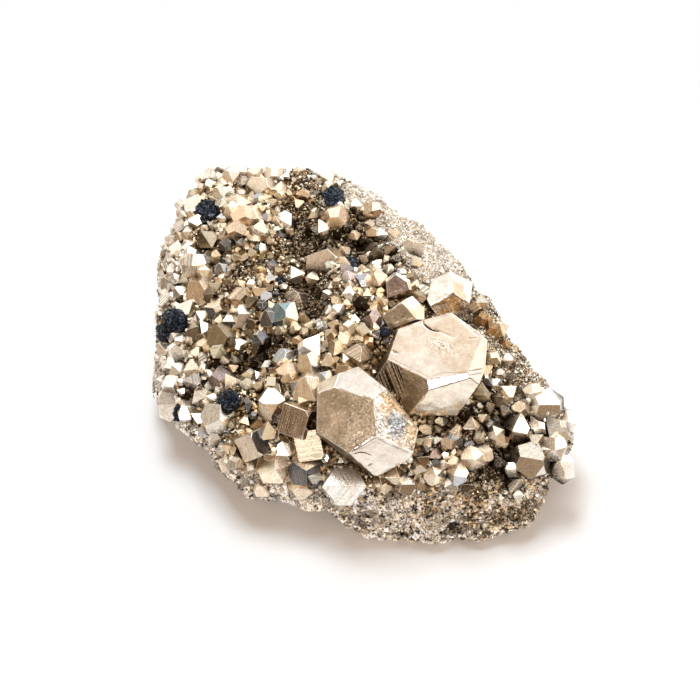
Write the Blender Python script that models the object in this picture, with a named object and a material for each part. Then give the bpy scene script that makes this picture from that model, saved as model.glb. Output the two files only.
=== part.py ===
"""Pyrite specimen: a lump of fine-grained pyrite rock, overgrown with flat-faced pyrite crystals.

Everything grew together, so the lump and its crystals are one solid. The rock is lofted from
compass stations round its outline. Each large crystal is a block cut by its own measured faces,
and the crust of smaller crystals is copied from a few habits and strewn over the top.
Lengths are in millimetres until a mesh is made: x to the right, y to the back, z up.
"""

import random

import bmesh
import bpy
import numpy as np
from mathutils import Matrix, Vector, noise
from mathutils.bvhtree import BVHTree

MM = 0.001

# Stations round the outline, clockwise from the back left corner. Each row is the widest point
# (x, y, z), how far in and how high the shoulder above it lies, and how far in the foot is.
STATIONS = (
    (-43.5, 48, 29, 6, 32, 6),
    (-31, 49.5, 29, 8, 33, 5),
    (-13.5, 49, 29, 9, 33, 4),
    (0, 44, 27, 9, 33, 4),
    (18.5, 28, 27, 10, 34, 4),
    (32.5, 9.5, 25, 10, 33, 4),
    (39, -1, 23, 10, 32, 3),
    (48, -17, 19, 9, 28, 3),
    (53.5, -25.5, 17, 9, 26, 4),
    (50.5, -33, 16, 8, 26, 4),
    (51.5, -38.5, 14, 8, 25, 4),
    (47, -43, 10, 8, 24, 3),
    (37, -48, 7, 8, 24, 2),
    (25, -50, 6, 7, 24, 1),
    (14.5, -50, 6, 8, 24, 1),
    (0, -49, 7, 8, 25, 2),
    (-10.5, -44.5, 12, 6, 25, 5),
    (-19.5, -41.5, 14, 5, 24, 8),
    (-31.5, -40, 14, 5, 23, 10),
    (-39.5, -31, 14, 5, 23, 11),
    (-48, -23, 14, 5, 22, 11),
    (-54.5, -11, 12, 6, 22, 9),
    (-54.5, 6, 12, 6, 24, 8),
    (-55, 20, 14, 6, 26, 7),
    (-53, 29, 18, 6, 28, 7),
    (-50.5, 38, 24, 6, 31, 7),
)
CREST = (13, -7, 38)                        # the highest point of the rock's main form
CREST_RING = 0.04                           # share of the outline where the rings stop
DOME = ((0.66, 0.55), (0.32, 0.92))         # shares of the outline, and of the way up, between

# Hollows in the top: name, x, y, radius and depth.
PITS = (
    ("cleft behind the middle lobe", -14, 22, 7, 7),
    ("cleft in the back", -17, 32, 6, 5),
    ("pocket right of the back cleft", 0, 22, 8, 6),
    ("pit left of the large crystals", -12, -2, 6, 5),
    ("pit beside the twinned crystal", -15, 8, 6, 6),
    ("gully on the left", -30, -12, 6, 5),
    ("gully below it", -40, -18, 6, 4),
    ("pocket under the back crystal", 24, -1, 6, 5),
    ("hollow right of the right crystal", 38, -20, 9, 5),
    ("hollow on the lower right", 36, -33, 9, 6),
    ("dark pit under the right crystal", 20, -32, 7, 5),
)

# The rock's own lumps: size across, height, and where in the noise they are read.
LUMPS = ((17.0, 3.2, 11.0), (7.0, 1.7, 47.0))
FLAT_FOOT = 5.0                             # lumps fade out this far above the resting face

# The largest crystals: centre, then each face's compass bearing (from +x, anticlockwise), its
# slope up from level, and its distance from the centre.
BLOCKS = {
    "left crystal": (
        (-1.3, -30.7, 31.4),
        (
            (-121, 48, 9.0), (148, 57, 11.9), (98, 78, 10.6), (-41, 46, 11.4),
            (-83, 14, 11.6), (-127, -18, 10.2), (-179, 4, 10.7), (114, 20, 10.3),
            (43, 12, 7.4), (42, 20, 9.2), (-94, -43, 14.4), (-51, -37, 15.0),
            (-6, -16, 14.0), (71, -53, 10.0),
        ),
    ),
    "right crystal": (
        (22.4, -16.7, 33.9),
        (
            (-148, 66, 11.0), (169, 24, 16.5), (118, 39, 13.3), (46, 20, 8.0),
            (-45, 45, 14.1), (-108, 36, 13.5), (-131, 26, 13.9), (-93, 11, 12.7),
            (0, -9, 5.7), (-16, -21, 5.4), (-89, -45, 12.1), (156, 1, 18.1),
            (98, 15, 9.2), (71, -53, 12.0),
        ),
    ),
    "back crystal": (
        (20.9, 2.8, 35.4),
        (
            (-128, 69, 6.0), (-17, 58, 6.4), (115, 21, 4.3), (66, 24, 5.6),
            (-80, 38, 6.3), (-79, -47, 3.3), (-8, -17, 5.3), (162, -5, 3.2),
            (-160, -31, 3.1), (64, -64, 7.0),
        ),
    ),
    "middle crystal": (
        (10.3, -3.9, 37.2),
        (
            (-120, 43, 5.5), (-28, 71, 6.1), (-84, -7, 4.8), (147, 50, 5.0),
            (-154, -15, 5.5), (124, 18, 1.8), (42, 14, 3.6), (1, -12, 3.8),
            (80, -55, 6.0), (-90, -41, 6.5), (90, 29, 7.0),
        ),
    ),
    "brown crystal behind it": (
        (10.2, 3.5, 39.1),
        (
            (-125, 46, 4.0), (150, 39, 4.4), (37, 77, 4.1), (-27, 52, 4.4),
            (-83, -8, 3.3), (-174, 1, 4.6), (80, -55, 5.0), (131, 16, 4.0),
            (53, 19, 1.2), (11, -5, 0.9),
        ),
    ),
}

# The smaller crystals are laid out on a flat sheet that faces a viewpoint in front and above, and
# each is dropped away from that viewpoint until it meets the rock.
SHEET_MIDDLE = (-3.5, -4, 21.3)
SHEET_SLOPE = 55                            # degrees up from level to the viewpoint
VIEWPOINT_AWAY = 505.6

# Which way a crystal's best face looks: compass bearing and slope, in degrees.
FACING = {
    "up": (20, 82),
    "up_left": (-150, 66),
    "right_up": (-20, 58),
    "front_up": (-105, 38),
    "left_front": (-121, 46),
    "left": (-133, 24),
    "front": (-92, 14),
}
LIFT = 0.5                                  # how far a best face stands out, of its reach
HABIT_DEPTH = {"octahedron": 0.75, "pyritohedron": 1.3, "cube": 0.8}

# Across and up on the sheet, how far the best face reaches from its middle, the habit, which way
# that face looks, and how far it is turned, clockwise in degrees.
CRYSTALS = (
    (-16.9, 34.8, 3.3, "octahedron", "up", 270),
    (-26.3, 35.6, 3.6, "octahedron", "up_left", 0),
    (-22.1, 34.8, 1.8, "octahedron", "up_left", 30),
    (-24.2, 42.9, 3.0, "pyritohedron", "up_left", 40),
    (-18.7, 42.1, 2.1, "octahedron", "up_left", 20),
    (-18.7, 40.0, 1.8, "octahedron", "left_front", 50),
    (-30.9, 38.0, 3.0, "pyritohedron", "up_left", 10),
    (-31.7, 35.4, 2.1, "pyritohedron", "left_front", 0),
    (-38.2, 27.8, 3.0, "octahedron", "left", 0),
    (-41.1, 25.7, 2.1, "octahedron", "up", 90),
    (-37.2, 23.9, 2.1, "octahedron", "right_up", 20),
    (-40.3, 22.6, 2.4, "pyritohedron", "up_left", 40),
    (-32.2, 44.7, 2.1, "pyritohedron", "left_front", 0),
    (-31.2, 41.9, 1.5, "pyritohedron", "up", 0),
    (-43.4, 29.4, 1.5, "pyritohedron", "left", 0),
    (-29.6, 29.4, 2.1, "pyritohedron", "front", 0),
    (-24.2, 29.1, 1.8, "octahedron", "right_up", 0),
    (-27.0, 30.4, 1.5, "octahedron", "up_left", 15),
    (-27.6, 32.8, 2.4, "pyritohedron", "front", 0),
    (-6.2, 38.5, 1.8, "octahedron", "up_left", 190),
    (-6.8, 32.2, 2.7, "octahedron", "up", 90),
    (-3.6, 32.8, 2.4, "pyritohedron", "front", 20),
    (-9.6, 35.1, 1.8, "octahedron", "left_front", 0),
    (-2.1, 25.0, 2.1, "octahedron", "front_up", 0),
    (-7.8, 22.9, 3.9, "pyritohedron", "up_left", 10),
    (-9.6, 19.5, 2.1, "octahedron", "up", 140),
    (1.6, 38.2, 1.8, "pyritohedron", "up", 0),
    (8.1, 30.7, 1.8, "octahedron", "up", 110),
    (5.5, 30.4, 1.5, "pyritohedron", "left_front", 0),
    (5.5, 33.0, 1.8, "octahedron", "right_up", 30),
    (5.5, 34.8, 1.8, "pyritohedron", "front", 0),
    (5.2, 25.0, 1.5, "octahedron", "up", 150),
    (7.3, 22.6, 1.8, "pyritohedron", "up", 30),
    (9.4, 23.9, 1.5, "octahedron", "up_left", 100),
    (-1.0, 18.7, 2.1, "pyritohedron", "up_left", 0),
    (14.8, 26.5, 2.4, "pyritohedron", "up_left", 60),
    (6.0, 17.9, 2.1, "pyritohedron", "left_front", 0),
    (-13.5, 38.2, 1.8, "octahedron", "up_left", 80),
    (-2.3, 37.2, 2.1, "octahedron", "right_up", 0),
    (0.5, 29.6, 1.8, "octahedron", "left_front", 10),
    (11.2, 30.7, 1.8, "octahedron", "up_left", 40),
    (16.9, 22.9, 1.8, "octahedron", "up_left", 0),
    (-43.9, 15.9, 2.1, "octahedron", "up", 180),
    (-41.1, 19.8, 2.7, "pyritohedron", "front", 5),
    (-39.3, 19.2, 1.8, "pyritohedron", "left", 0),
    (-34.1, 20.8, 1.8, "pyritohedron", "left_front", 0),
    (-30.9, 20.8, 1.5, "pyritohedron", "left_front", 0),
    (-40.0, 14.8, 3.3, "pyritohedron", "left_front", 30),
    (-38.2, 16.6, 1.8, "octahedron", "right_up", 0),
    (-35.4, 16.4, 2.1, "octahedron", "up_left", 70),
    (-43.2, 10.9, 3.0, "octahedron", "up_left", 40),
    (-36.1, 9.6, 3.0, "octahedron", "left", 60),
    (-37.4, 6.2, 2.4, "octahedron", "up", 200),
    (-34.6, 3.1, 3.3, "pyritohedron", "left_front", 20),
    (-40.8, 4.2, 2.4, "pyritohedron", "left_front", 50),
    (-44.2, 3.4, 1.8, "pyritohedron", "up", 10),
    (-46.5, 2.6, 2.1, "octahedron", "left", 120),
    (-31.5, 8.3, 2.1, "octahedron", "up", 0),
    (-29.4, 7.3, 1.5, "octahedron", "up_left", 60),
    (-27.6, 10.7, 2.4, "pyritohedron", "up", 0),
    (-28.6, 2.1, 2.1, "octahedron", "up", 200),
    (-29.1, 14.6, 3.3, "octahedron", "up_left", 8),
    (-38.5, 1.8, 1.5, "pyritohedron", "up_left", 0),
    (-40.3, 7.8, 1.8, "octahedron", "up_left", 0),
    (-48.4, -7.5, 2.4, "octahedron", "up", 20),
    (-47.6, -12.0, 3.3, "pyritohedron", "up_left", 0),
    (-44.5, -4.2, 1.8, "pyritohedron", "up", 40),
    (-46.5, -5.7, 2.4, "octahedron", "front", 60),
    (-45.2, -0.8, 2.1, "pyritohedron", "up_left", 60),
    (-40.3, -0.5, 1.8, "octahedron", "up_left", 20),
    (-39.0, -11.2, 3.3, "octahedron", "up_left", 100),
    (-35.1, -8.8, 2.4, "pyritohedron", "left", 0),
    (-31.2, -8.3, 3.0, "octahedron", "up_left", 90),
    (-36.4, -5.7, 1.5, "octahedron", "up", 60),
    (-40.8, -6.2, 2.4, "octahedron", "front", 40),
    (-35.4, -12.2, 1.8, "octahedron", "up", 270),
    (-42.9, -16.4, 2.4, "pyritohedron", "front_up", 0),
    (-39.3, -17.7, 3.3, "octahedron", "front_up", 180),
    (-34.3, -20.5, 4.2, "pyritohedron", "front", 0),
    (-38.7, -21.8, 1.8, "octahedron", "left", 0),
    (-42.6, -21.1, 2.4, "pyritohedron", "front", 40),
    (-14.3, 20.3, 2.4, "octahedron", "up", 90),
    (-21.8, 7.8, 3.6, "pyritohedron", "left_front", 0),
    (-14.8, 9.9, 3.9, "pyritohedron", "right_up", 20),
    (-15.6, 13.8, 3.6, "pyritohedron", "up_left", 60),
    (-9.9, 1.6, 3.9, "octahedron", "up", 270),
    (-25.7, 17.7, 1.5, "octahedron", "up", 0),
    (-24.4, 2.6, 2.7, "octahedron", "left", 0),
    (-5.7, 15.1, 1.5, "octahedron", "up", 30),
    (-4.2, 10.9, 1.5, "pyritohedron", "up", 20),
    (-8.8, -2.3, 2.4, "pyritohedron", "right_up", 0),
    (-15.3, -1.6, 2.1, "pyritohedron", "right_up", 40),
    (-21.3, -3.6, 2.1, "octahedron", "up", 0),
    (-23.7, -6.5, 1.8, "octahedron", "up", 80),
    (6.0, 10.1, 1.8, "octahedron", "up_left", 20),
    (1.3, 8.1, 1.5, "octahedron", "up", 0),
    (4.7, 7.3, 1.8, "pyritohedron", "left_front", 0),
    (1.3, -0.3, 3.3, "octahedron", "up_left", 30),
    (3.9, -0.8, 1.8, "octahedron", "right_up", 0),
    (-1.6, 2.9, 1.8, "pyritohedron", "up_left", 0),
    (-12.0, -10.7, 3.9, "pyritohedron", "left_front", 0),
    (-22.4, -16.1, 3.0, "pyritohedron", "left", 0),
    (-20.5, -18.5, 1.8, "octahedron", "front", 0),
    (-17.7, -26.0, 2.4, "pyritohedron", "front_up", 0),
    (-26.8, -7.0, 2.4, "octahedron", "left_front", 30),
    (-19.5, -10.9, 2.4, "octahedron", "up_left", 10),
    (-16.4, -7.8, 2.1, "pyritohedron", "front", 0),
    (-1.8, -5.7, 2.1, "pyritohedron", "left_front", 30),
    (-5.2, -7.0, 1.8, "pyritohedron", "right_up", 10),
    (-27.0, -25.5, 5.7, "cube", "left", 12),
    (-14.8, -18.5, 5.4, "cube", "left_front", 62),
    (-13.5, -32.5, 3.9, "pyritohedron", "left", 0),
    (-9.1, -32.0, 2.1, "octahedron", "up", 0),
    (-20.0, -33.3, 3.0, "pyritohedron", "front", 0),
    (-1.3, -38.0, 6.3, "octahedron", "front", 180),
    (-10.9, -25.0, 4.5, "cube", "front_up", 35),
    (-22.9, -36.9, 2.4, "pyritohedron", "front", 0),
    (-32.5, -30.2, 2.4, "pyritohedron", "left", 0),
    (-12.5, -37.4, 2.7, "pyritohedron", "front", 60),
    (41.6, -10.7, 3.0, "octahedron", "right_up", 180),
    (38.0, -13.3, 2.4, "octahedron", "left_front", 180),
    (37.4, -8.1, 1.8, "octahedron", "up", 60),
    (34.3, -12.7, 2.4, "octahedron", "front", 50),
    (43.9, -14.8, 2.7, "octahedron", "up_left", 20),
    (47.3, -12.5, 1.8, "pyritohedron", "front", 0),
    (51.7, -12.5, 3.3, "pyritohedron", "up", 0),
    (45.0, -19.8, 3.6, "octahedron", "right_up", 10),
    (48.1, -23.1, 2.4, "octahedron", "up_left", 180),
    (47.6, -26.3, 3.6, "pyritohedron", "up", 10),
    (51.2, -27.0, 2.1, "octahedron", "front_up", 180),
    (52.8, -27.8, 2.4, "pyritohedron", "front", 0),
    (53.0, -19.5, 3.3, "octahedron", "up_left", 80),
    (52.0, -22.6, 2.4, "pyritohedron", "left", 0),
    (56.2, -20.3, 2.2, "pyritohedron", "front", 0),
    (34.1, -17.7, 1.5, "octahedron", "left_front", 180),
    (36.7, -21.6, 2.1, "pyritohedron", "up_left", 0),
    (39.0, -24.2, 2.1, "octahedron", "left_front", 0),
    (54.3, -31.2, 2.4, "pyritohedron", "left_front", 0),
    (48.1, -30.7, 2.1, "octahedron", "front", 100),
    (30.7, -27.0, 2.4, "pyritohedron", "up_left", 0),
    (29.4, -31.5, 3.0, "octahedron", "right_up", 10),
    (41.9, -30.2, 2.1, "octahedron", "up", 0),
    (40.8, -39.5, 1.5, "octahedron", "left_front", 0),
    (43.7, -37.2, 1.5, "octahedron", "up", 0),
    (11.2, -32.0, 2.4, "octahedron", "up_left", 0),
    (15.1, -33.8, 2.1, "pyritohedron", "up", 0),
    (21.8, -27.3, 1.8, "octahedron", "left_front", 0),
    (25.2, -24.4, 1.8, "pyritohedron", "left_front", 0),
    (26.8, -28.6, 1.5, "pyritohedron", "up_left", 0),
    (20.8, -31.2, 2.1, "pyritohedron", "up_left", 0),
    (33.8, -27.3, 1.8, "pyritohedron", "left_front", 0),
    (50.2, -16.1, 1.8, "octahedron", "left_front", 0),
    (27.3, -21.3, 2.1, "octahedron", "left_front", 20),
    (31.2, -19.5, 2.1, "octahedron", "up_left", 0),
    (20.0, -23.9, 2.1, "octahedron", "left_front", 40),
    (34.3, 13.0, 1.8, "octahedron", "up", 0),
    (38.2, 5.2, 2.4, "octahedron", "left_front", 10),
    (41.1, -1.8, 1.8, "octahedron", "up", 0),
    (39.0, -5.7, 1.8, "octahedron", "up", 0),
)

# Lumpy blue-black grains: across and up on the sheet, and reach.
DARK_GRAINS = (
    (-37.4, 36.1, 2.9),
    (-4.4, 39.8, 2.9),
    (-45.8, 7.8, 3.4),
    (-48.9, 4.2, 2.3),
    (-31.7, -13.3, 2.9),
    (-45.2, -16.1, 2.3),
    (0.5, 22.6, 1.6),
    (9.1, 4.7, 1.3),
    (-17.9, 17.9, 1.0),
)

# Plain small crystals that fill the gaps on top: how many, reach, how near they may come to a
# measured crystal, how level the rock is there, and the clear room round each large crystal.
GAP_COUNT = 40
GAP_REACH = (1.3, 2.0)
GAP_ROOM = 1.1
GAP_LEVEL = 0.6
GAP_SPREAD = (-46, 46, -30, 42)             # across and up on the sheet
BARE_RIM = (42, 26)                         # the bare rim: bearing on the sheet, distance
BLOCK_ROOM = {
    "left crystal": 14.5,
    "right crystal": 15.5,
    "back crystal": 8.5,
    "middle crystal": 7.5,
    "brown crystal behind it": 5.5,
}

FINE_COLUMNS = 360
FINE_ROWS = 160
COLUMN_STEP = 8                             # of the fine grid, kept by the solid
ROW_STEP = 8


def catmull_rom(points, amounts, closed):
    """Points on a smooth curve through a list of points, at amounts counted in points."""
    count = len(points)
    whole = np.floor(amounts).astype(int)
    if not closed:
        whole = np.clip(whole, 0, count - 2)
    part = (amounts - whole)[:, None]
    near = []
    for shift in (-1, 0, 1, 2):
        index = whole + shift
        index = index % count if closed else np.clip(index, 0, count - 1)
        near.append(points[index])
    before, start, end, after = near
    return 0.5 * (
        2 * start
        + (end - before) * part
        + (2 * before - 5 * start + 4 * end - after) * part ** 2
        + (3 * start - before - 3 * end + after) * part ** 3
    )


def even_outline(columns):
    """The stations' rows, read off evenly along the outline."""
    stations = np.array(STATIONS, dtype=float)
    dense = np.linspace(0, len(stations), 4000, endpoint=False)
    rows = catmull_rom(stations, dense, closed=True)
    steps = np.linalg.norm(np.roll(rows, -1, axis=0)[:, :2] - rows[:, :2], axis=1)
    along = np.concatenate(([0], np.cumsum(steps)))
    wanted = np.linspace(0, along[-1], columns, endpoint=False)
    amounts = np.interp(wanted, along, np.linspace(0, len(stations), 4001))
    return catmull_rom(stations, amounts, closed=True)


def smooth_rock(columns, rows):
    """The rock's main form as a grid of points, one row a ring, from the foot to the crest."""
    outline = even_outline(columns)
    widest = outline[:, :3]
    crest = np.array(CREST, dtype=float)
    inward = crest[:2] - widest[:, :2]
    inward /= np.linalg.norm(inward, axis=1, keepdims=True)
    shoulder = np.column_stack((widest[:, :2] + inward * outline[:, 3:4], outline[:, 4]))
    foot = np.column_stack((widest[:, :2] + inward * outline[:, 5:6], np.zeros(columns)))
    belly = np.column_stack(
        (widest[:, :2] + inward * outline[:, 5:6] * 0.35, widest[:, 2] * 0.45)
    )
    profile = [foot, belly, widest, shoulder]
    for share, climb in DOME:
        ring = crest + (shoulder - crest) * np.array((share, share, 1 - climb))
        profile.append(ring)
    profile.append(crest + (shoulder - crest) * np.array((CREST_RING, CREST_RING, 0)))
    profile = np.stack(profile)
    amounts = np.linspace(0, len(profile) - 1, rows)
    rings = catmull_rom(profile.reshape(len(profile), -1), amounts, closed=False)
    return rings.reshape(rows, columns, 3)


def grid_normals(grid):
    """Outward directions of a ring grid's points."""
    around = np.roll(grid, -1, axis=1) - np.roll(grid, 1, axis=1)
    upward = np.gradient(grid, axis=0)
    normals = np.cross(upward, around)
    return normals / np.maximum(np.linalg.norm(normals, axis=2, keepdims=True), 1e-9)


def rock_grid(columns, rows):
    """The rock with its lumps and hollows, as a grid of points."""
    grid = smooth_rock(columns, rows)
    normals = grid_normals(grid)
    fade = np.clip(grid[:, :, 2] / FLAT_FOOT, 0, 1)
    push = np.zeros((rows, columns))
    for size, height, place in LUMPS:
        flat = grid.reshape(-1, 3) / size + place
        values = np.array([noise.noise(Vector(point)) for point in flat])
        push += height * values.reshape(rows, columns)
    grid = grid + normals * (push * fade)[:, :, None]
    for _, x, y, radius, depth in PITS:
        away = np.hypot(grid[:, :, 0] - x, grid[:, :, 1] - y) / radius
        grid[:, :, 2] -= depth * np.exp(-(away ** 2) * 1.2) * np.clip(fade, 0, 1)
    grid[0, :, 2] = 0
    return grid


def rock_object(grid, material):
    """One closed body from the rings of a grid."""
    mesh = bpy.data.meshes.new("pyrite_cluster")
    shape = bmesh.new()
    rings = [[shape.verts.new(Vector(point) * MM) for point in ring] for ring in grid]
    for lower, upper in zip(rings, rings[1:]):
        for column in range(len(lower)):
            after = (column + 1) % len(lower)
            shape.faces.new((lower[after], lower[column], upper[column], upper[after]))
    shape.faces.new(rings[0])
    shape.faces.new(reversed(rings[-1]))
    bmesh.ops.recalc_face_normals(shape, faces=shape.faces)
    shape.to_mesh(mesh)
    shape.free()
    mesh.materials.append(material)
    rock = bpy.data.objects.new("pyrite_cluster", mesh)
    bpy.context.scene.collection.objects.link(rock)
    return rock


def finish(name, colour, metallic, roughness):
    """A plain material for one sub-part."""
    material = bpy.data.materials.new(name)
    material.use_nodes = True
    shader = material.node_tree.nodes["Principled BSDF"]
    shader.inputs["Base Color"].default_value = (*colour, 1)
    shader.inputs["Metallic"].default_value = metallic
    shader.inputs["Roughness"].default_value = roughness
    return material


def direction(bearing, slope):
    """A unit vector from a compass bearing and a slope up from level."""
    bearing, slope = np.radians((bearing, slope))
    flat = np.cos(slope)
    return Vector((flat * np.cos(bearing), flat * np.sin(bearing), np.sin(slope)))


def cut_block(name, faces):
    """A convex block round the origin, cut from a cube by faces (outward direction, distance)."""
    shape = bmesh.new()
    bmesh.ops.create_cube(shape, size=6 * max(distance for _, distance in faces))
    for outward, distance in faces:
        everything = shape.verts[:] + shape.edges[:] + shape.faces[:]
        cut = bmesh.ops.bisect_plane(
            shape, geom=everything, plane_co=outward * distance, plane_no=outward,
            clear_outer=True, dist=1e-7,
        )
        rim = [part for part in cut["geom_cut"] if isinstance(part, bmesh.types.BMEdge)]
        if rim:
            bmesh.ops.contextual_create(shape, geom=rim)
    bmesh.ops.remove_doubles(shape, verts=shape.verts, dist=1e-5)
    bmesh.ops.recalc_face_normals(shape, faces=shape.faces)
    mesh = bpy.data.meshes.new(name)
    shape.to_mesh(mesh)
    shape.free()
    return mesh


def signed(values):
    """Every mix of signs of a set of three numbers, each once."""
    found = []
    for a in (1, -1):
        for b in (1, -1):
            for c in (1, -1):
                mixed = (values[0] * a, values[1] * b, values[2] * c)
                if mixed not in found:
                    found.append(mixed)
    return [Vector(mixed).normalized() for mixed in found]


def habits():
    """The crust's crystal shapes, with the nearest faces 1 from the centre."""
    cube = signed((1, 0, 0)) + signed((0, 1, 0)) + signed((0, 0, 1))
    octahedron = signed((1, 1, 1))
    pyritohedron = signed((2, 1, 0)) + signed((0, 2, 1)) + signed((1, 0, 2))
    return {
        "octahedron": (
            cut_block("octahedron", [(face, 1) for face in octahedron]),
            octahedron[0], cube[0],
        ),
        "pyritohedron": (
            cut_block("pyritohedron", [(face, 1) for face in pyritohedron]),
            pyritohedron[0], cube[2],
        ),
        "cube": (
            cut_block("cube", [(face, 1) for face in cube]),
            cube[0], octahedron[0],
        ),
    }


def basis(forward, sideways):
    """A turn whose z axis is forward and whose x axis leans to sideways."""
    third = forward.normalized()
    first = (sideways - third * sideways.dot(third)).normalized()
    return Matrix((first, third.cross(first), third)).transposed()


class Sheet:
    """The layout sheet, and what a line of sight through it meets on the rock."""

    def __init__(self, grid):
        slope = np.radians(SHEET_SLOPE)
        self.right = Vector((1, 0, 0))
        self.up = Vector((0, np.sin(slope), np.cos(slope)))
        self.toward = Vector((0, -np.cos(slope), np.sin(slope)))
        self.middle = Vector(SHEET_MIDDLE)
        self.viewpoint = self.middle + self.toward * VIEWPOINT_AWAY
        rows, columns = grid.shape[:2]
        points = [Vector(point) for point in grid.reshape(-1, 3)]
        faces = []
        for row in range(rows - 1):
            for column in range(columns):
                after = (column + 1) % columns
                low, high = row * columns, (row + 1) * columns
                faces.append((low + after, low + column, high + column, high + after))
        faces.append(tuple((rows - 1) * columns + column for column in range(columns)))
        self.rock = BVHTree.FromPolygons(points, faces)

    def meet(self, across, up):
        """Where a place on the sheet falls on the rock."""
        place = self.middle + self.right * across + self.up * up
        sight = (place - self.viewpoint).normalized()
        hit, outward, _, _ = self.rock.ray_cast(self.viewpoint, sight)
        if hit is None:
            hit, outward, _, _ = self.rock.find_nearest(place)
        return hit, sight, outward

    def turn(self, clockwise):
        """A direction on the sheet, clockwise from its top."""
        angle = np.radians(clockwise)
        return self.right * np.sin(angle) + self.up * np.cos(angle)


def gap_crystals(sheet):
    """Rows like the measured ones, for small crystals in the gaps on top."""
    draw = random.Random(5)
    taken = [(across, up, reach) for across, up, reach, _, _, _ in CRYSTALS]
    taken += list(DARK_GRAINS)
    for name, (centre, _) in BLOCKS.items():
        away = Vector(centre) - sheet.middle
        taken.append((away.dot(sheet.right), away.dot(sheet.up), BLOCK_ROOM[name]))
    left, right, low, high = GAP_SPREAD
    bearing = np.radians(BARE_RIM[0])
    rows = []
    while len(rows) < GAP_COUNT:
        across = draw.uniform(left, right)
        up = draw.uniform(low, high)
        reach = draw.uniform(*GAP_REACH)
        crowded = any(
            np.hypot(across - x, up - y) < (reach + size) * GAP_ROOM for x, y, size in taken
        )
        _, sight, outward = sheet.meet(across, up)
        toward_rim = across * np.cos(bearing) + up * np.sin(bearing)
        if crowded or outward.z < GAP_LEVEL or toward_rim > BARE_RIM[1]:
            continue
        taken.append((across, up, reach))
        facing = draw.choice(("up", "up_left", "left_front", "right_up"))
        rows.append((across, up, reach, "octahedron", facing, draw.uniform(0, 120)))
    return rows


def crystal_places(sheet, shapes):
    """Each crust crystal's habit and its place, as a matrix in millimetres."""
    places = []
    for across, up, reach, habit, facing, spin in list(CRYSTALS) + gap_crystals(sheet):
        _, face, corner = shapes[habit]
        outward = direction(*FACING[facing])
        depth = reach * HABIT_DEPTH[habit]
        hit, sight, _ = sheet.meet(across, up)
        centre = hit - sight * (reach * LIFT) - outward * depth
        turned = basis(outward, sheet.turn(spin)) @ basis(face, corner).transposed()
        places.append((habit, Matrix.LocRotScale(centre, turned, Vector((depth,) * 3))))
    return places


def grain_places(sheet):
    """The dark grains' places: each is two small octahedra grown through each other."""
    places = []
    for across, up, reach in DARK_GRAINS:
        hit, _, _ = sheet.meet(across, up)
        for turn in (0.3, 1.7):
            spun = Matrix.Rotation(turn, 3, Vector((1, turn, 0.4)))
            places.append(("cube", Matrix.LocRotScale(hit, spun, Vector((reach * 0.55,) * 3))))
    return places


def cutter(name, mesh, place, crust):
    """One crystal to be joined to the rock, placed in metres."""
    crystal = bpy.data.objects.new(name, mesh)
    crystal.matrix_world = Matrix.Scale(MM, 4) @ place
    crystal.hide_render = True
    crystal.display_type = "WIRE"
    crust.objects.link(crystal)


def main():
    for thing in list(bpy.data.objects):
        bpy.data.objects.remove(thing)
    pyrite = finish("pyrite", (0.62, 0.50, 0.36), 1.0, 0.3)
    fine = rock_grid(FINE_COLUMNS, FINE_ROWS)
    kept_rows = list(range(0, FINE_ROWS, ROW_STEP))
    if kept_rows[-1] != FINE_ROWS - 1:
        kept_rows.append(FINE_ROWS - 1)
    rock = rock_object(fine[kept_rows][:, ::COLUMN_STEP], pyrite)

    crust = bpy.data.collections.new("crust")
    bpy.context.scene.collection.children.link(crust)
    for name, (centre, faces) in BLOCKS.items():
        cuts = [(direction(bearing, slope), distance) for bearing, slope, distance in faces]
        cutter(name, cut_block(name, cuts), Matrix.Translation(centre), crust)
    shapes = habits()
    sheet = Sheet(fine)
    for number, (habit, place) in enumerate(crystal_places(sheet, shapes) + grain_places(sheet)):
        cutter(f"{habit}_{number + 1:03d}", shapes[habit][0], place, crust)

    joined = rock.modifiers.new("grown together", "BOOLEAN")
    joined.operation = "UNION"
    joined.operand_type = "COLLECTION"
    joined.collection = crust
    joined.solver = "EXACT"
    joined.use_self = True


main()
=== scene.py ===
"""Looks for the pyrite specimen.

Finer pieces stand for the plain solid: the granular rock, the large crystals, the crust of
smaller ones, and the sugary grains between them. The rock's form, the large crystals' faces and
the places of the crust's crystals are the part's own. Lengths are in millimetres until a mesh is
made: x to the right, y to the back, z up.
"""

import itertools
import random
from collections import namedtuple

import bpy
import numpy as np
from mathutils import Matrix, Vector, noise
from mathutils.bvhtree import BVHTree
from mathutils.kdtree import KDTree


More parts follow.
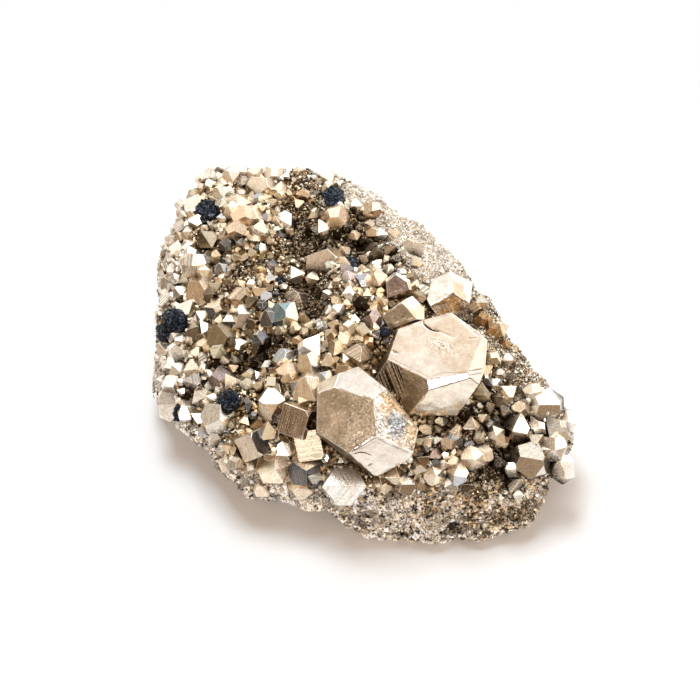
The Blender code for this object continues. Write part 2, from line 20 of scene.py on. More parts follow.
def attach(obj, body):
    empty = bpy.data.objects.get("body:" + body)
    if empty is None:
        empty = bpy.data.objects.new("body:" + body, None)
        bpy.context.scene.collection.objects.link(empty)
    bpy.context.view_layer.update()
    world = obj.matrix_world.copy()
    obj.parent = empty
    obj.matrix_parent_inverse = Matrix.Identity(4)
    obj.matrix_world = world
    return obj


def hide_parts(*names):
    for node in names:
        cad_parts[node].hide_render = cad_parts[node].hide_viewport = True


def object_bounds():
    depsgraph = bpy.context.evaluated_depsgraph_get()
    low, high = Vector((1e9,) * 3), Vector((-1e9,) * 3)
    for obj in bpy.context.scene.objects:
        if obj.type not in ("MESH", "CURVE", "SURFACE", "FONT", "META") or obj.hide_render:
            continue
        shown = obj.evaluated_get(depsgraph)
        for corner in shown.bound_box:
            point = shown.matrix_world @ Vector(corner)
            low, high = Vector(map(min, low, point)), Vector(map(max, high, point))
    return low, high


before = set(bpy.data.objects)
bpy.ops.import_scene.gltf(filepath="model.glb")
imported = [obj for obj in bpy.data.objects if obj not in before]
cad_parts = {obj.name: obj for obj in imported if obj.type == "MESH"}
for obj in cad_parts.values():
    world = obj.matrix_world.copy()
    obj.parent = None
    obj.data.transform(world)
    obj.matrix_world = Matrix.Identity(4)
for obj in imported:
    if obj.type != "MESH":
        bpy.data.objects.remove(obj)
cad_low, cad_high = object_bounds()

MM = 0.001
box_low = np.array(cad_low) / MM
box_high = np.array(cad_high) / MM

# Stations round the outline, clockwise from the back left corner. Each row is the widest point
# (x, y, z), how far in and how high the shoulder above it lies, and how far in the foot is.
STATIONS = (
    (-43.5, 48, 29, 6, 32, 6),
    (-31, 49.5, 29, 8, 33, 5),
    (-13.5, 49, 29, 9, 33, 4),
    (0, 44, 27, 9, 33, 4),
    (18.5, 28, 27, 10, 34, 4),
    (32.5, 9.5, 25, 10, 33, 4),
    (39, -1, 23, 10, 32, 3),
    (48, -17, 19, 9, 28, 3),
    (53.5, -25.5, 17, 9, 26, 4),
    (50.5, -33, 16, 8, 26, 4),
    (51.5, -38.5, 14, 8, 25, 4),
    (47, -43, 10, 8, 24, 3),
    (37, -48, 7, 8, 24, 2),
    (25, -50, 6, 7, 24, 1),
    (14.5, -50, 6, 8, 24, 1),
    (0, -49, 7, 8, 25, 2),
    (-10.5, -44.5, 12, 6, 25, 5),
    (-19.5, -41.5, 14, 5, 24, 8),
    (-31.5, -40, 14, 5, 23, 10),
    (-39.5, -31, 14, 5, 23, 11),
    (-48, -23, 14, 5, 22, 11),
    (-54.5, -11, 12, 6, 22, 9),
    (-54.5, 6, 12, 6, 24, 8),
    (-55, 20, 14, 6, 26, 7),
    (-53, 29, 18, 6, 28, 7),
    (-50.5, 38, 24, 6, 31, 7),
)
CREST = (13, -7, 38)                        # the highest point of the rock's main form
CREST_RING = 0.04                           # share of the outline where the rings stop
# Rings between shoulder and crest: share of the outline, and share of the way up.
DOME = ((0.66, 0.55), (0.32, 0.92))
BELLY = (0.35, 0.45)                        # how far in, of the foot, and how high, of the widest
OUTLINE_SAMPLES = 4000                      # places where the outline's length is measured

# Hollows in the top: name, x, y, radius and depth.
PITS = (
    ("cleft behind the middle lobe", -14, 22, 7, 7),
    ("cleft in the back", -17, 32, 6, 5),
    ("pocket right of the back cleft", 0, 22, 8, 6),
    ("pit left of the large crystals", -12, -2, 6, 5),
    ("pit beside the twinned crystal", -15, 8, 6, 6),
    ("gully on the left", -30, -12, 6, 5),
    ("gully below it", -40, -18, 6, 4),
    ("pocket under the back crystal", 24, -1, 6, 5),
    ("hollow right of the right crystal", 38, -20, 9, 5),
    ("hollow on the lower right", 36, -33, 9, 6),
    ("dark pit under the right crystal", 20, -32, 7, 5),
)

# The rock's own lumps: size across, height, and where in the noise they are read.
LUMPS = ((17.0, 3.2, 11.0), (7.0, 1.7, 47.0))
FLAT_FOOT = 5.0                             # lumps fade out this far above the resting face
PIT_WALLS = 1.2                             # how steeply a pit's walls fall
SHALLOW = 3.5                               # pits less deep than this aren't darkened with painted shade

# The rock's finer relief, over all of it and on its bare sides: height, size across, and where in
# the noise they are read.
RELIEF = ((0.55, 2.8, 5.0), (0.35, 1.3, 9.0))
RELIEF_SUNK = 0.25
RELIEF_FOOT = 2.0                           # it fades out this far above the resting face
SIDE_RELIEF = ((0.5, 5.0, 15.0), (0.45, 2.0, 19.0))
ROCK_COLUMNS = 450                          # points round each ring of the rock
ROCK_ROWS = 190                             # rings from the foot to the crest
ROCK_MARGIN = 0.1                           # how far the rock stays inside the part's box
BOX_MARGIN = 0.02                           # and how far crystals and grains do
FURTHEST_CORNER = 1.72                      # how far out their corners come, of their reach

# The largest crystals: centre, then each face's compass bearing (from +x, anticlockwise), its
# slope up from level, and its distance from the centre.
BLOCKS = {
    "left crystal": (
        (-1.3, -30.7, 31.4),
        (
            (-121, 48, 9.0), (148, 57, 11.9), (98, 78, 10.6), (-41, 46, 11.4),
            (-83, 14, 11.6), (-127, -18, 10.2), (-179, 4, 10.7), (114, 20, 10.3),
            (43, 12, 7.4), (42, 20, 9.2), (-94, -43, 14.4), (-51, -37, 15.0),
            (-6, -16, 14.0), (71, -53, 10.0),
        ),
    ),
    "right crystal": (
        (22.4, -16.7, 33.9),
        (
            (-148, 66, 11.0), (169, 24, 16.5), (118, 39, 13.3), (46, 20, 8.0),
            (-45, 45, 14.1), (-108, 36, 13.5), (-131, 26, 13.9), (-93, 11, 12.7),
            (0, -9, 5.7), (-16, -21, 5.4), (-89, -45, 12.1), (156, 1, 18.1),
            (98, 15, 9.2), (71, -53, 12.0),
        ),
    ),
    "back crystal": (
        (20.9, 2.8, 35.4),
        (
            (-128, 69, 6.0), (-17, 58, 6.4), (115, 21, 4.3), (66, 24, 5.6),
            (-80, 38, 6.3), (-79, -47, 3.3), (-8, -17, 5.3), (162, -5, 3.2),
            (-160, -31, 3.1), (64, -64, 7.0),
        ),
    ),
    "middle crystal": (
        (10.3, -3.9, 37.2),
        (
            (-120, 43, 5.5), (-28, 71, 6.1), (-84, -7, 4.8), (147, 50, 5.0),
            (-154, -15, 5.5), (124, 18, 1.8), (42, 14, 3.6), (1, -12, 3.8),
            (80, -55, 6.0), (-90, -41, 6.5), (90, 29, 7.0),
        ),
    ),
    "brown crystal behind it": (
        (10.2, 3.5, 39.1),
        (
            (-125, 46, 4.0), (150, 39, 4.4), (37, 77, 4.1), (-27, 52, 4.4),
            (-83, -8, 3.3), (-174, 1, 4.6), (80, -55, 5.0), (131, 16, 4.0),
            (53, 19, 1.2), (11, -5, 0.9),
        ),
    ),
}

# The smaller crystals are laid out on a flat sheet that faces a viewpoint in front and above, and
# each is dropped away from that viewpoint until it meets the rock. A bearing on the sheet is
# anticlockwise from its right.
SHEET_MIDDLE = (-3.5, -4, 21.3)
SHEET_SLOPE = 55                            # degrees up from level to the viewpoint
VIEWPOINT_AWAY = 505.6

# Which way a crystal's best face looks: compass bearing and slope, in degrees.
FACING = {
    "up": (20, 82),
    "up_left": (-150, 66),
    "right_up": (-20, 58),
    "front_up": (-105, 38),
    "left_front": (-121, 46),
    "left": (-133, 24),
    "front": (-92, 14),
}
LIFT = 0.5                                  # how far a best face stands out, of its reach
UNEVEN = (0.90, 1.12)                       # how far out a habit's other faces lie
HABIT_DEPTH = {"octahedron": 0.75, "pyritohedron": 1.3, "cube": 0.8}

# Across and up on the sheet, how far the best face reaches from its middle, the habit, which way
# that face looks, how far it is turned, clockwise in degrees, and its finish.
CRYSTALS = (
    (-16.9, 34.8, 3.3, "octahedron", "up", 270, "pale_lit"),
    (-26.3, 35.6, 3.6, "octahedron", "up_left", 0, "blue"),
    (-22.1, 34.8, 1.8, "octahedron", "up_left", 30, "blue"),
    (-24.2, 42.9, 3.0, "pyritohedron", "up_left", 40, "plain"),
    (-18.7, 42.1, 2.1, "octahedron", "up_left", 20, "plain"),
    (-18.7, 40.0, 1.8, "octahedron", "left_front", 50, "plain"),
    (-30.9, 38.0, 3.0, "pyritohedron", "up_left", 10, "plain"),
    (-31.7, 35.4, 2.1, "pyritohedron", "left_front", 0, "plain"),
    (-38.2, 27.8, 3.0, "octahedron", "left", 0, "olive"),
    (-41.1, 25.7, 2.1, "octahedron", "up", 90, "pale_lit"),
    (-37.2, 23.9, 2.1, "octahedron", "right_up", 20, "blue"),
    (-40.3, 22.6, 2.4, "pyritohedron", "up_left", 40, "blue"),
    (-32.2, 44.7, 2.1, "pyritohedron", "left_front", 0, "plain"),
    (-31.2, 41.9, 1.5, "pyritohedron", "up", 0, "pale_lit"),
    (-43.4, 29.4, 1.5, "pyritohedron", "left", 0, "plain"),
    (-29.6, 29.4, 2.1, "pyritohedron", "front", 0, "orange"),
    (-24.2, 29.1, 1.8, "octahedron", "right_up", 0, "blue"),
    (-27.0, 30.4, 1.5, "octahedron", "up_left", 15, "blue"),
    (-27.6, 32.8, 2.4, "pyritohedron", "front", 0, "orange"),
    (-6.2, 38.5, 1.8, "octahedron", "up_left", 190, "plain"),
    (-6.8, 32.2, 2.7, "octahedron", "up", 90, "pale_lit"),
    (-3.6, 32.8, 2.4, "pyritohedron", "front", 20, "orange"),
    (-9.6, 35.1, 1.8, "octahedron", "left_front", 0, "plain"),
    (-2.1, 25.0, 2.1, "octahedron", "front_up", 0, "plain"),
    (-7.8, 22.9, 3.9, "pyritohedron", "up_left", 10, "orange"),
    (-9.6, 19.5, 2.1, "octahedron", "up", 140, "plain"),
    (1.6, 38.2, 1.8, "pyritohedron", "up", 0, "pale_lit"),
    (8.1, 30.7, 1.8, "octahedron", "up", 110, "pale_lit"),
    (5.5, 30.4, 1.5, "pyritohedron", "left_front", 0, "plain"),
    (5.5, 33.0, 1.8, "octahedron", "right_up", 30, "plain"),
    (5.5, 34.8, 1.8, "pyritohedron", "front", 0, "orange"),
    (5.2, 25.0, 1.5, "octahedron", "up", 150, "pale_lit"),
    (7.3, 22.6, 1.8, "pyritohedron", "up", 30, "pale_lit"),
    (9.4, 23.9, 1.5, "octahedron", "up_left", 100, "plain"),
    (-1.0, 18.7, 2.1, "pyritohedron", "up_left", 0, "rose"),
    (14.8, 26.5, 2.4, "pyritohedron", "up_left", 60, "plain"),
    (6.0, 17.9, 2.1, "pyritohedron", "left_front", 0, "plain"),
    (-13.5, 38.2, 1.8, "octahedron", "up_left", 80, "plain"),
    (-2.3, 37.2, 2.1, "octahedron", "right_up", 0, "plain"),
    (0.5, 29.6, 1.8, "octahedron", "left_front", 10, "plain"),
    (11.2, 30.7, 1.8, "octahedron", "up_left", 40, "plain"),
    (16.9, 22.9, 1.8, "octahedron", "up_left", 0, "plain"),
    (-43.9, 15.9, 2.1, "octahedron", "up", 180, "pale_lit"),
    (-41.1, 19.8, 2.7, "pyritohedron", "front", 5, "peach"),
    (-39.3, 19.2, 1.8, "pyritohedron", "left", 0, "plain"),
    (-34.1, 20.8, 1.8, "pyritohedron", "left_front", 0, "blue"),
    (-30.9, 20.8, 1.5, "pyritohedron", "left_front", 0, "slate"),
    (-40.0, 14.8, 3.3, "pyritohedron", "left_front", 30, "plain"),
    (-38.2, 16.6, 1.8, "octahedron", "right_up", 0, "slate"),
    (-35.4, 16.4, 2.1, "octahedron", "up_left", 70, "plain"),
    (-43.2, 10.9, 3.0, "octahedron", "up_left", 40, "pale_lit"),
    (-36.1, 9.6, 3.0, "octahedron", "left", 60, "slate"),
    (-37.4, 6.2, 2.4, "octahedron", "up", 200, "pale_lit"),
    (-34.6, 3.1, 3.3, "pyritohedron", "left_front", 20, "olive"),
    (-40.8, 4.2, 2.4, "pyritohedron", "left_front", 50, "olive"),
    (-44.2, 3.4, 1.8, "pyritohedron", "up", 10, "pale_lit"),
    (-46.5, 2.6, 2.1, "octahedron", "left", 120, "blue"),
    (-31.5, 8.3, 2.1, "octahedron", "up", 0, "slate"),
    (-29.4, 7.3, 1.5, "octahedron", "up_left", 60, "pale_lit"),
    (-27.6, 10.7, 2.4, "pyritohedron", "up", 0, "pale_lit"),
    (-28.6, 2.1, 2.1, "octahedron", "up", 200, "pale_lit"),
    (-29.1, 14.6, 3.3, "octahedron", "up_left", 8, "striped"),
    (-38.5, 1.8, 1.5, "pyritohedron", "up_left", 0, "plain"),
    (-40.3, 7.8, 1.8, "octahedron", "up_left", 0, "rose"),
    (-48.4, -7.5, 2.4, "octahedron", "up", 20, "pale_lit"),
    (-47.6, -12.0, 3.3, "pyritohedron", "up_left", 0, "plain"),
    (-44.5, -4.2, 1.8, "pyritohedron", "up", 40, "pale_lit"),
    (-46.5, -5.7, 2.4, "octahedron", "front", 60, "striped"),
    (-45.2, -0.8, 2.1, "pyritohedron", "up_left", 60, "plain"),
    (-40.3, -0.5, 1.8, "octahedron", "up_left", 20, "plain"),
    (-39.0, -11.2, 3.3, "octahedron", "up_left", 100, "pale_lit"),
    (-35.1, -8.8, 2.4, "pyritohedron", "left", 0, "rose"),
    (-31.2, -8.3, 3.0, "octahedron", "up_left", 90, "plain"),
    (-36.4, -5.7, 1.5, "octahedron", "up", 60, "pale_lit"),
    (-40.8, -6.2, 2.4, "octahedron", "front", 40, "plain"),
    (-35.4, -12.2, 1.8, "octahedron", "up", 270, "pale_lit"),
    (-42.9, -16.4, 2.4, "pyritohedron", "front_up", 0, "plain"),
    (-39.3, -17.7, 2.6, "octahedron", "front_up", 180, "plain"),
    (-34.3, -20.5, 3.0, "pyritohedron", "front", 0, "pale_lit"),
    (-38.7, -21.8, 1.8, "octahedron", "left", 0, "blue"),
    (-42.6, -21.1, 2.4, "pyritohedron", "front", 40, "plain"),
    (-14.3, 20.3, 2.4, "octahedron", "up", 90, "pale_lit"),
    (-21.8, 7.8, 2.4, "pyritohedron", "left_front", 0, "slate"),
    (-14.8, 9.9, 2.8, "pyritohedron", "right_up", 20, "teal"),
    (-15.6, 13.8, 2.4, "pyritohedron", "up_left", 60, "striped"),
    (-9.9, 1.6, 3.9, "octahedron", "up", 270, "pale_lit"),
    (-25.7, 17.7, 1.5, "octahedron", "up", 0, "pale_lit"),
    (-24.4, 2.6, 2.7, "octahedron", "left", 0, "slate"),
    (-5.7, 15.1, 1.5, "octahedron", "up", 30, "pale_lit"),
    (-4.2, 10.9, 1.5, "pyritohedron", "up", 20, "pale_lit"),
    (-8.8, -2.3, 2.4, "pyritohedron", "right_up", 0, "blue"),
    (-15.3, -1.6, 2.1, "pyritohedron", "right_up", 40, "blue"),
    (-21.3, -3.6, 2.1, "octahedron", "up", 0, "pale_lit"),
    (-23.7, -6.5, 1.8, "octahedron", "up", 80, "pale_lit"),
    (6.0, 10.1, 1.8, "octahedron", "up_left", 20, "plain"),
    (1.3, 8.1, 1.5, "octahedron", "up", 0, "pale_lit"),
    (4.7, 7.3, 1.8, "pyritohedron", "left_front", 0, "rose"),
    (1.3, -0.3, 3.3, "octahedron", "up_left", 30, "striped"),
    (3.9, -0.8, 1.8, "octahedron", "right_up", 0, "blue"),
    (-1.6, 2.9, 1.8, "pyritohedron", "up_left", 0, "plain"),
    (-12.0, -10.7, 3.9, "pyritohedron", "left_front", 0, "blue"),
    (-22.4, -16.1, 3.0, "pyritohedron", "left", 0, "plain"),
    (-20.5, -18.5, 1.8, "octahedron", "front", 0, "plain"),
    (-17.7, -26.0, 2.4, "pyritohedron", "front_up", 0, "pale_lit"),
    (-26.8, -7.0, 2.4, "octahedron", "left_front", 30, "plain"),
    (-19.5, -10.9, 2.4, "octahedron", "up_left", 10, "olive"),
    (-16.4, -7.8, 2.1, "pyritohedron", "front", 0, "orange"),
    (-1.8, -5.7, 2.1, "pyritohedron", "left_front", 30, "plain"),
    (-5.2, -7.0, 1.8, "pyritohedron", "right_up", 10, "blue"),
    (-27.0, -25.5, 3.9, "cube", "left", 102, "slate"),
    (-14.8, -18.5, 4.4, "cube", "left_front", -28, "striped"),
    (-13.5, -32.5, 3.6, "pyritohedron", "left", 0, "slate"),
    (-9.1, -32.0, 2.1, "octahedron", "up", 0, "pale_lit"),
    (-20.0, -33.3, 3.0, "pyritohedron", "front", 0, "plain"),
    (-1.3, -38.0, 6.3, "octahedron", "front", 180, "cream"),
    (-10.9, -25.0, 4.5, "cube", "front_up", 35, "olive"),
    (-22.9, -36.9, 2.4, "pyritohedron", "front", 0, "plain"),
    (-32.5, -30.2, 2.4, "pyritohedron", "left", 0, "plain"),
    (-12.5, -37.4, 2.7, "pyritohedron", "front", 60, "plain"),
    (41.6, -10.7, 3.0, "octahedron", "right_up", 180, "blue"),
    (38.0, -13.3, 2.4, "octahedron", "left_front", 180, "olive"),
    (37.4, -8.1, 1.8, "octahedron", "up", 60, "pale_lit"),
    (34.3, -12.7, 2.4, "octahedron", "front", 50, "olive"),
    (43.9, -14.8, 2.7, "octahedron", "up_left", 20, "plain"),
    (47.3, -12.5, 1.8, "pyritohedron", "front", 0, "orange"),
    (51.7, -12.5, 3.3, "pyritohedron", "up", 0, "pale_lit"),
    (45.0, -19.8, 3.6, "octahedron", "right_up", 10, "plain"),
    (48.1, -23.1, 2.4, "octahedron", "up_left", 180, "plain"),
    (47.6, -26.3, 3.6, "pyritohedron", "up", 10, "pale_lit"),
    (51.2, -27.0, 2.1, "octahedron", "front_up", 180, "pale_lit"),
    (52.8, -27.8, 2.4, "pyritohedron", "front", 0, "plain"),
    (53.0, -19.5, 3.3, "octahedron", "up_left", 80, "pale_lit"),
    (52.0, -22.6, 2.4, "pyritohedron", "left", 0, "plain"),
    (56.2, -20.3, 2.2, "pyritohedron", "front", 0, "plain"),
    (34.1, -17.7, 1.5, "octahedron", "left_front", 180, "plain"),
    (36.7, -21.6, 2.1, "pyritohedron", "up_left", 0, "plain"),
    (39.0, -24.2, 2.1, "octahedron", "left_front", 0, "orange"),
    (54.3, -31.2, 2.4, "pyritohedron", "left_front", 0, "olive"),
    (48.1, -30.7, 2.1, "octahedron", "front", 100, "orange"),
    (30.7, -27.0, 2.4, "pyritohedron", "up_left", 0, "plain"),
    (29.4, -31.5, 3.0, "octahedron", "right_up", 10, "blue"),
    (41.9, -30.2, 2.1, "octahedron", "up", 0, "pale_lit"),
    (40.8, -39.5, 1.5, "octahedron", "left_front", 0, "plain"),
    (43.7, -37.2, 1.5, "octahedron", "up", 0, "pale_lit"),
    (11.2, -32.0, 2.4, "octahedron", "up_left", 0, "plain"),
    (15.1, -33.8, 2.1, "pyritohedron", "up", 0, "pale_lit"),
    (21.8, -27.3, 1.8, "octahedron", "left_front", 0, "rose"),
    (25.2, -24.4, 1.8, "pyritohedron", "left_front", 0, "blue"),
    (26.8, -28.6, 1.5, "pyritohedron", "up_left", 0, "plain"),
    (20.8, -31.2, 2.1, "pyritohedron", "up_left", 0, "plain"),
    (33.8, -27.3, 1.8, "pyritohedron", "left_front", 0, "plain"),
    (50.2, -16.1, 1.8, "octahedron", "left_front", 0, "blue"),
    (27.3, -21.3, 2.1, "octahedron", "left_front", 20, "teal"),
    (31.2, -19.5, 2.1, "octahedron", "up_left", 0, "plain"),
    (20.0, -23.9, 2.1, "octahedron", "left_front", 40, "blue"),
    (34.3, 13.0, 1.8, "octahedron", "up", 0, "pale_lit"),
    (38.2, 5.2, 2.4, "octahedron", "left_front", 10, "plain"),
    (41.1, -1.8, 1.8, "octahedron", "up", 0, "plain"),
    (39.0, -5.7, 1.8, "octahedron", "up", 0, "pale_lit"),
)

# Lumpy blue-black grains: across and up on the sheet, and reach.
DARK_GRAINS = (
    (-37.4, 36.1, 2.9),
    (-4.4, 39.8, 2.9),
    (-45.8, 7.8, 3.4),
    (-48.9, 4.2, 2.3),
    (-31.7, -13.3, 2.9),
    (-45.2, -16.1, 2.3),
    (0.5, 22.6, 1.6),
    (9.1, 4.7, 1.3),
    (-17.9, 17.9, 1.0),
)

# Where the crust of crystals ends: the bare rim's bearing on the sheet and its distance, then how
# level and how high the rock is where the crust begins, and over how much more it fills in.
BARE_RIM = (42, 26)
CRUST_LEVEL = (0.15, 0.3)
CRUST_FOOT = (17, 3)

# Places on the sheet where few crystals grew: across, up, radius, and how far they thin out.
BARE_PATCHES = (
    ("sugary patch between the clefts", -15.6, 26, 10, 1.0),
    ("sugary patch below it", -13, 15.5, 6.5, 1.0),
    ("sugary patch in the back", -9, 37, 7.5, 1.0),
    ("sugary patch on the left", -27, 21, 4.5, 0.9),
    ("sugary patch below the middle", -19, -9, 5, 0.9),
    ("cleft in the back", 1.0, 29, 5, 1.0),
    ("cleft in the middle", -10, 13, 4.5, 1.0),
    ("gully on the left", -26, -4, 4, 0.9),
    ("hollow left of the middle", -18, 0, 4.5, 0.9),
    ("brown rock right of the right crystal", 37, 5, 8, 0.9),
    ("granular front", 14, -43, 12, 0.95),
    ("granular front on the right", 36, -43, 9, 0.8),
)

# Small crystals, largest first: least and most reach, and how many places are tried.
SMALL_SIZES = (
    (2.0, 2.6, 320), (1.5, 2.0, 1000), (1.05, 1.5, 2600), (0.7, 1.05, 6000), (0.45, 0.7, 8000),
)
HABIT_SHARES = (0.70, 0.22, 0.08)           # octahedra, pyritohedra and cubes among them
BROKEN_EDGE = 1.4                           # smaller ones than this have sharp edges
OPEN_SHARE = 0.85                           # how bare the rock is in patches between them
OPEN_SIZE = 7.0                             # how wide those patches are
CLEAR_VIEW = 0.72                           # how clear of a measured crystal's middle they stay
BEVELLED_SHAPES = 7                         # shapes of each habit with broken edges
PLAIN_SHAPES = 5                            # and with sharp ones
SMALL_BEVEL = 0.045                         # how wide broken edges are, of a crystal's size
SMALL_ROOM = 0.63                           # how near two may come, of their reaches together
ROOM_CELL = 4.0                             # taken places are looked up in cells of this size
FACE_OUT = 0.7                              # share of them that turn a face outwards
FACE_TILT = 0.42                            # how unevenly those faces tilt
SHADED_REACH = 0.8                             # smaller ones than this take a darker mix, painted shade deep in crevices
RAISED = 0.12                               # how much further every measured crystal stands out
PROUD = 0.08                                # and how much more for each millimetre of its reach
PROUD_FROM = 2.2                            # beyond this one

# Hollows sunk from the front, their rock and grains darkened with painted shade: name, across and
# up on the sheet, radius and depth.
SIDE_PITS = (
    ("dark pit on the lower right", 35, -34.5, 5.4, 3.0),
    ("dark slope below it", 32.5, -39.5, 3.8, 0.8),
    ("dark slope beside it", 28.5, -36.0, 3.0, 0.8),
    ("right half of the dark pit", 41, -33, 3.0, 2.0),
    ("pit in the front", 20.3, -41, 2.0, 1.5),
    ("notch in the lower edge", 27.6, -47.8, 1.5, 2.6),
    ("dark grains under the left crystal", 8.5, -35.5, 2.6, 1.2),
    ("hollow right of the notch", 31, -43, 2.2, 1.2),
    ("dull corner", 41, -43.5, 3.0, 1.0),
    ("gap left of the right crystal", 6.8, -3.0, 3.4, 4.2),
    ("gap between the two large crystals", 8.2, -8.5, 3.0, 4.2),
)

# Where the edge is drawn in: name, across and up on the sheet, radius, and by what share.
DRAWN_IN = (
    ("lower right corner", 56.0, -36.0, 8.0, 0.07),
    ("notch in the lower edge", 27.5, -47.5, 2.4, 0.055),
)

# Crevices darkened with painted shade: across and up on the sheet, and radius.
CREVICES = (
    (0.0, 28.5, 3.4), (1.0, 35.0, 1.8), (-10.9, 15.6, 2.4), (-9.6, 11.7, 2.4), (-13.0, 30.7, 2.2),
    (-16.6, 1.3, 2.4), (-20.8, 0.0, 2.8), (-27.0, -4.7, 2.8), (-41.6, -12.5, 2.2),
    (-35.0, -3.1, 1.8), (-22.9, -11.7, 1.5), (9.9, 22.9, 2.3), (30.7, -19.0, 2.8),
    (33.8, -31.2, 3.4), (39.0, -33.8, 2.8), (-7.8, -27.3, 1.4), (-1.3, -33.3, 1.2),
    (2.9, 10.4, 1.8), (17.0, 9.0, 2.0), (36.0, -11.0, 2.2), (-30.0, 20.5, 1.5),
)

# Where crystals along the rim are paler, partly the rim's own pale colour and partly painted light
# where it is seen at a grazing angle: its bearing on the sheet, where that begins and is full, and
# its share.
PALE_LIT_RIMS = (
    (180, 38, 44.5, 1.0), (-14, 40, 47, 0.95), (90, 40, 46, 0.6), (202, 40, 46.5, 0.8),
)
RIM_CREAM_AND_LIGHT = (0.96, 0.88, 0.78)

# Darker parts of the granular sides: name, where they begin and are full, first across the sheet
# and then up it (1) or down it (-1), and by how much they are darker.
DARKER_SIDES = (
    ("brown rock on the right", (26, 33), (-14, -6), 1, 0.75),
    ("dull lower right corner", (24, 34), (26, 34), -1, 0.45),
)

# Tints of the measured crystals, with their share of growth lines. The pale brass one given mostly
# to crystals that face up is partly painted light.
TINTS = {
    "plain": (0.93, 0.78, 0.61, 0.12),
    "pale_lit": (0.97, 0.90, 0.80, 0.08),
    "blue": (0.60, 0.64, 0.68, 0.25),
    "teal": (0.24, 0.37, 0.42, 0.25),
    "slate": (0.25, 0.27, 0.31, 0.25),
    "cream": (0.98, 0.93, 0.86, 0.3),
    "peach": (0.95, 0.82, 0.67, 0.7),
    "olive": (0.36, 0.31, 0.23, 0.2),
    "rust": (0.52, 0.31, 0.14, 0.8),
    "orange": (0.86, 0.66, 0.49, 0.1),
    "rose": (0.56, 0.45, 0.42, 0.2),
    "striped": (0.62, 0.51, 0.40, 0.8),
}

# Colours of what is strewn, each with its weight: small crystals, the smallest of them, darker as
# painted shade, grains in crevices, many near black as painted shade, grains on bare rock, whose
# near-black ones are painted shade in the gaps, grains on the back, and the dark clusters.
SMALL_MIX = (
    (36, (0.88, 0.73, 0.55)), (30, (0.98, 0.90, 0.78)), (12, (0.55, 0.43, 0.29)),
    (11, (0.30, 0.23, 0.15)), (4, (0.60, 0.64, 0.70)), (7, (0.19, 0.19, 0.20)),
    (7, (0.95, 0.70, 0.46)),
)
SHADED_SMALL_MIX = (
    (34, (0.60, 0.46, 0.30)), (20, (0.14, 0.10, 0.06)), (36, (0.97, 0.88, 0.74)),
    (4, (0.80, 0.60, 0.38)),
)
CREVICE_SHADE_MIX = (
    (36, (0.05, 0.03, 0.016)), (30, (1.0, 0.90, 0.72)), (27, (0.66, 0.49, 0.29)),
    (3, (0.86, 0.62, 0.36)),
)
GRAIN_MIX = (
    (30, (0.95, 0.83, 0.69)), (54, (1.0, 0.98, 0.94)), (12, (0.40, 0.31, 0.21)),
    (18, (0.02, 0.014, 0.008)), (1, (0.86, 0.62, 0.36)),
)
BACK_MIX = (
    (50, (0.94, 0.86, 0.76)), (36, (1.0, 0.97, 0.92)), (12, (0.66, 0.54, 0.40)),
    (2, (0.30, 0.22, 0.15)),
)
DARK_MIX = ((3, (0.018, 0.024, 0.036)), (2, (0.045, 0.058, 0.08)), (1, (0.13, 0.15, 0.18)))
LIGHTNESS_SPREAD = 0.10                     # how much copies of one colour differ

# Sugary grains: how many, least and most reach, their colours, and how much darker their darker
# clusters are.
GRAINS = {
    "grains_on_top": (33000, 0.2, 0.5, GRAIN_MIX, 0.5),
    "grains_on_the_front": (32000, 0.17, 0.65, GRAIN_MIX, 0.60),
    "grains_on_the_back": (29000, 0.18, 0.5, BACK_MIX, 0.12),
}
CLUSTER_SIZE = 2.6
DARK_COUNT = 80                             # grains in a dark cluster, for each millimetre of reach
DARK_SIZE = (0.28, 0.5)

# Smooth pale blocks along the left rim and rusty ones right of the right crystal, laid out like
# the measured ones.
PALE_BLOCKS = (
    (-41.0, 38.0, 2.8, "cube", "up_left", 25, "pale_lit"),
    (-44.4, 32.2, 1.9, "cube", "up_left", 10, "cream"),
    (-45.3, 26.6, 2.0, "cube", "up_left", 5, "cream"),
    (-46.6, 21.3, 1.6, "pyritohedron", "up_left", 0, "cream"),
    (-47.8, 15.3, 1.9, "cube", "up_left", 20, "cream"),
    (-36.5, 33.5, 1.6, "octahedron", "up_left", 60, "cream"),
    (33.8, 7.3, 1.7, "pyritohedron", "left_front", 0, "rust"),
    (37.0, 3.9, 1.9, "pyritohedron", "front_up", 40, "rust"),
    (39.8, 1.3, 1.5, "octahedron", "left_front", 20, "rust"),
    (32.2, 11.2, 1.5, "cube", "left_front", 15, "peach"),
)
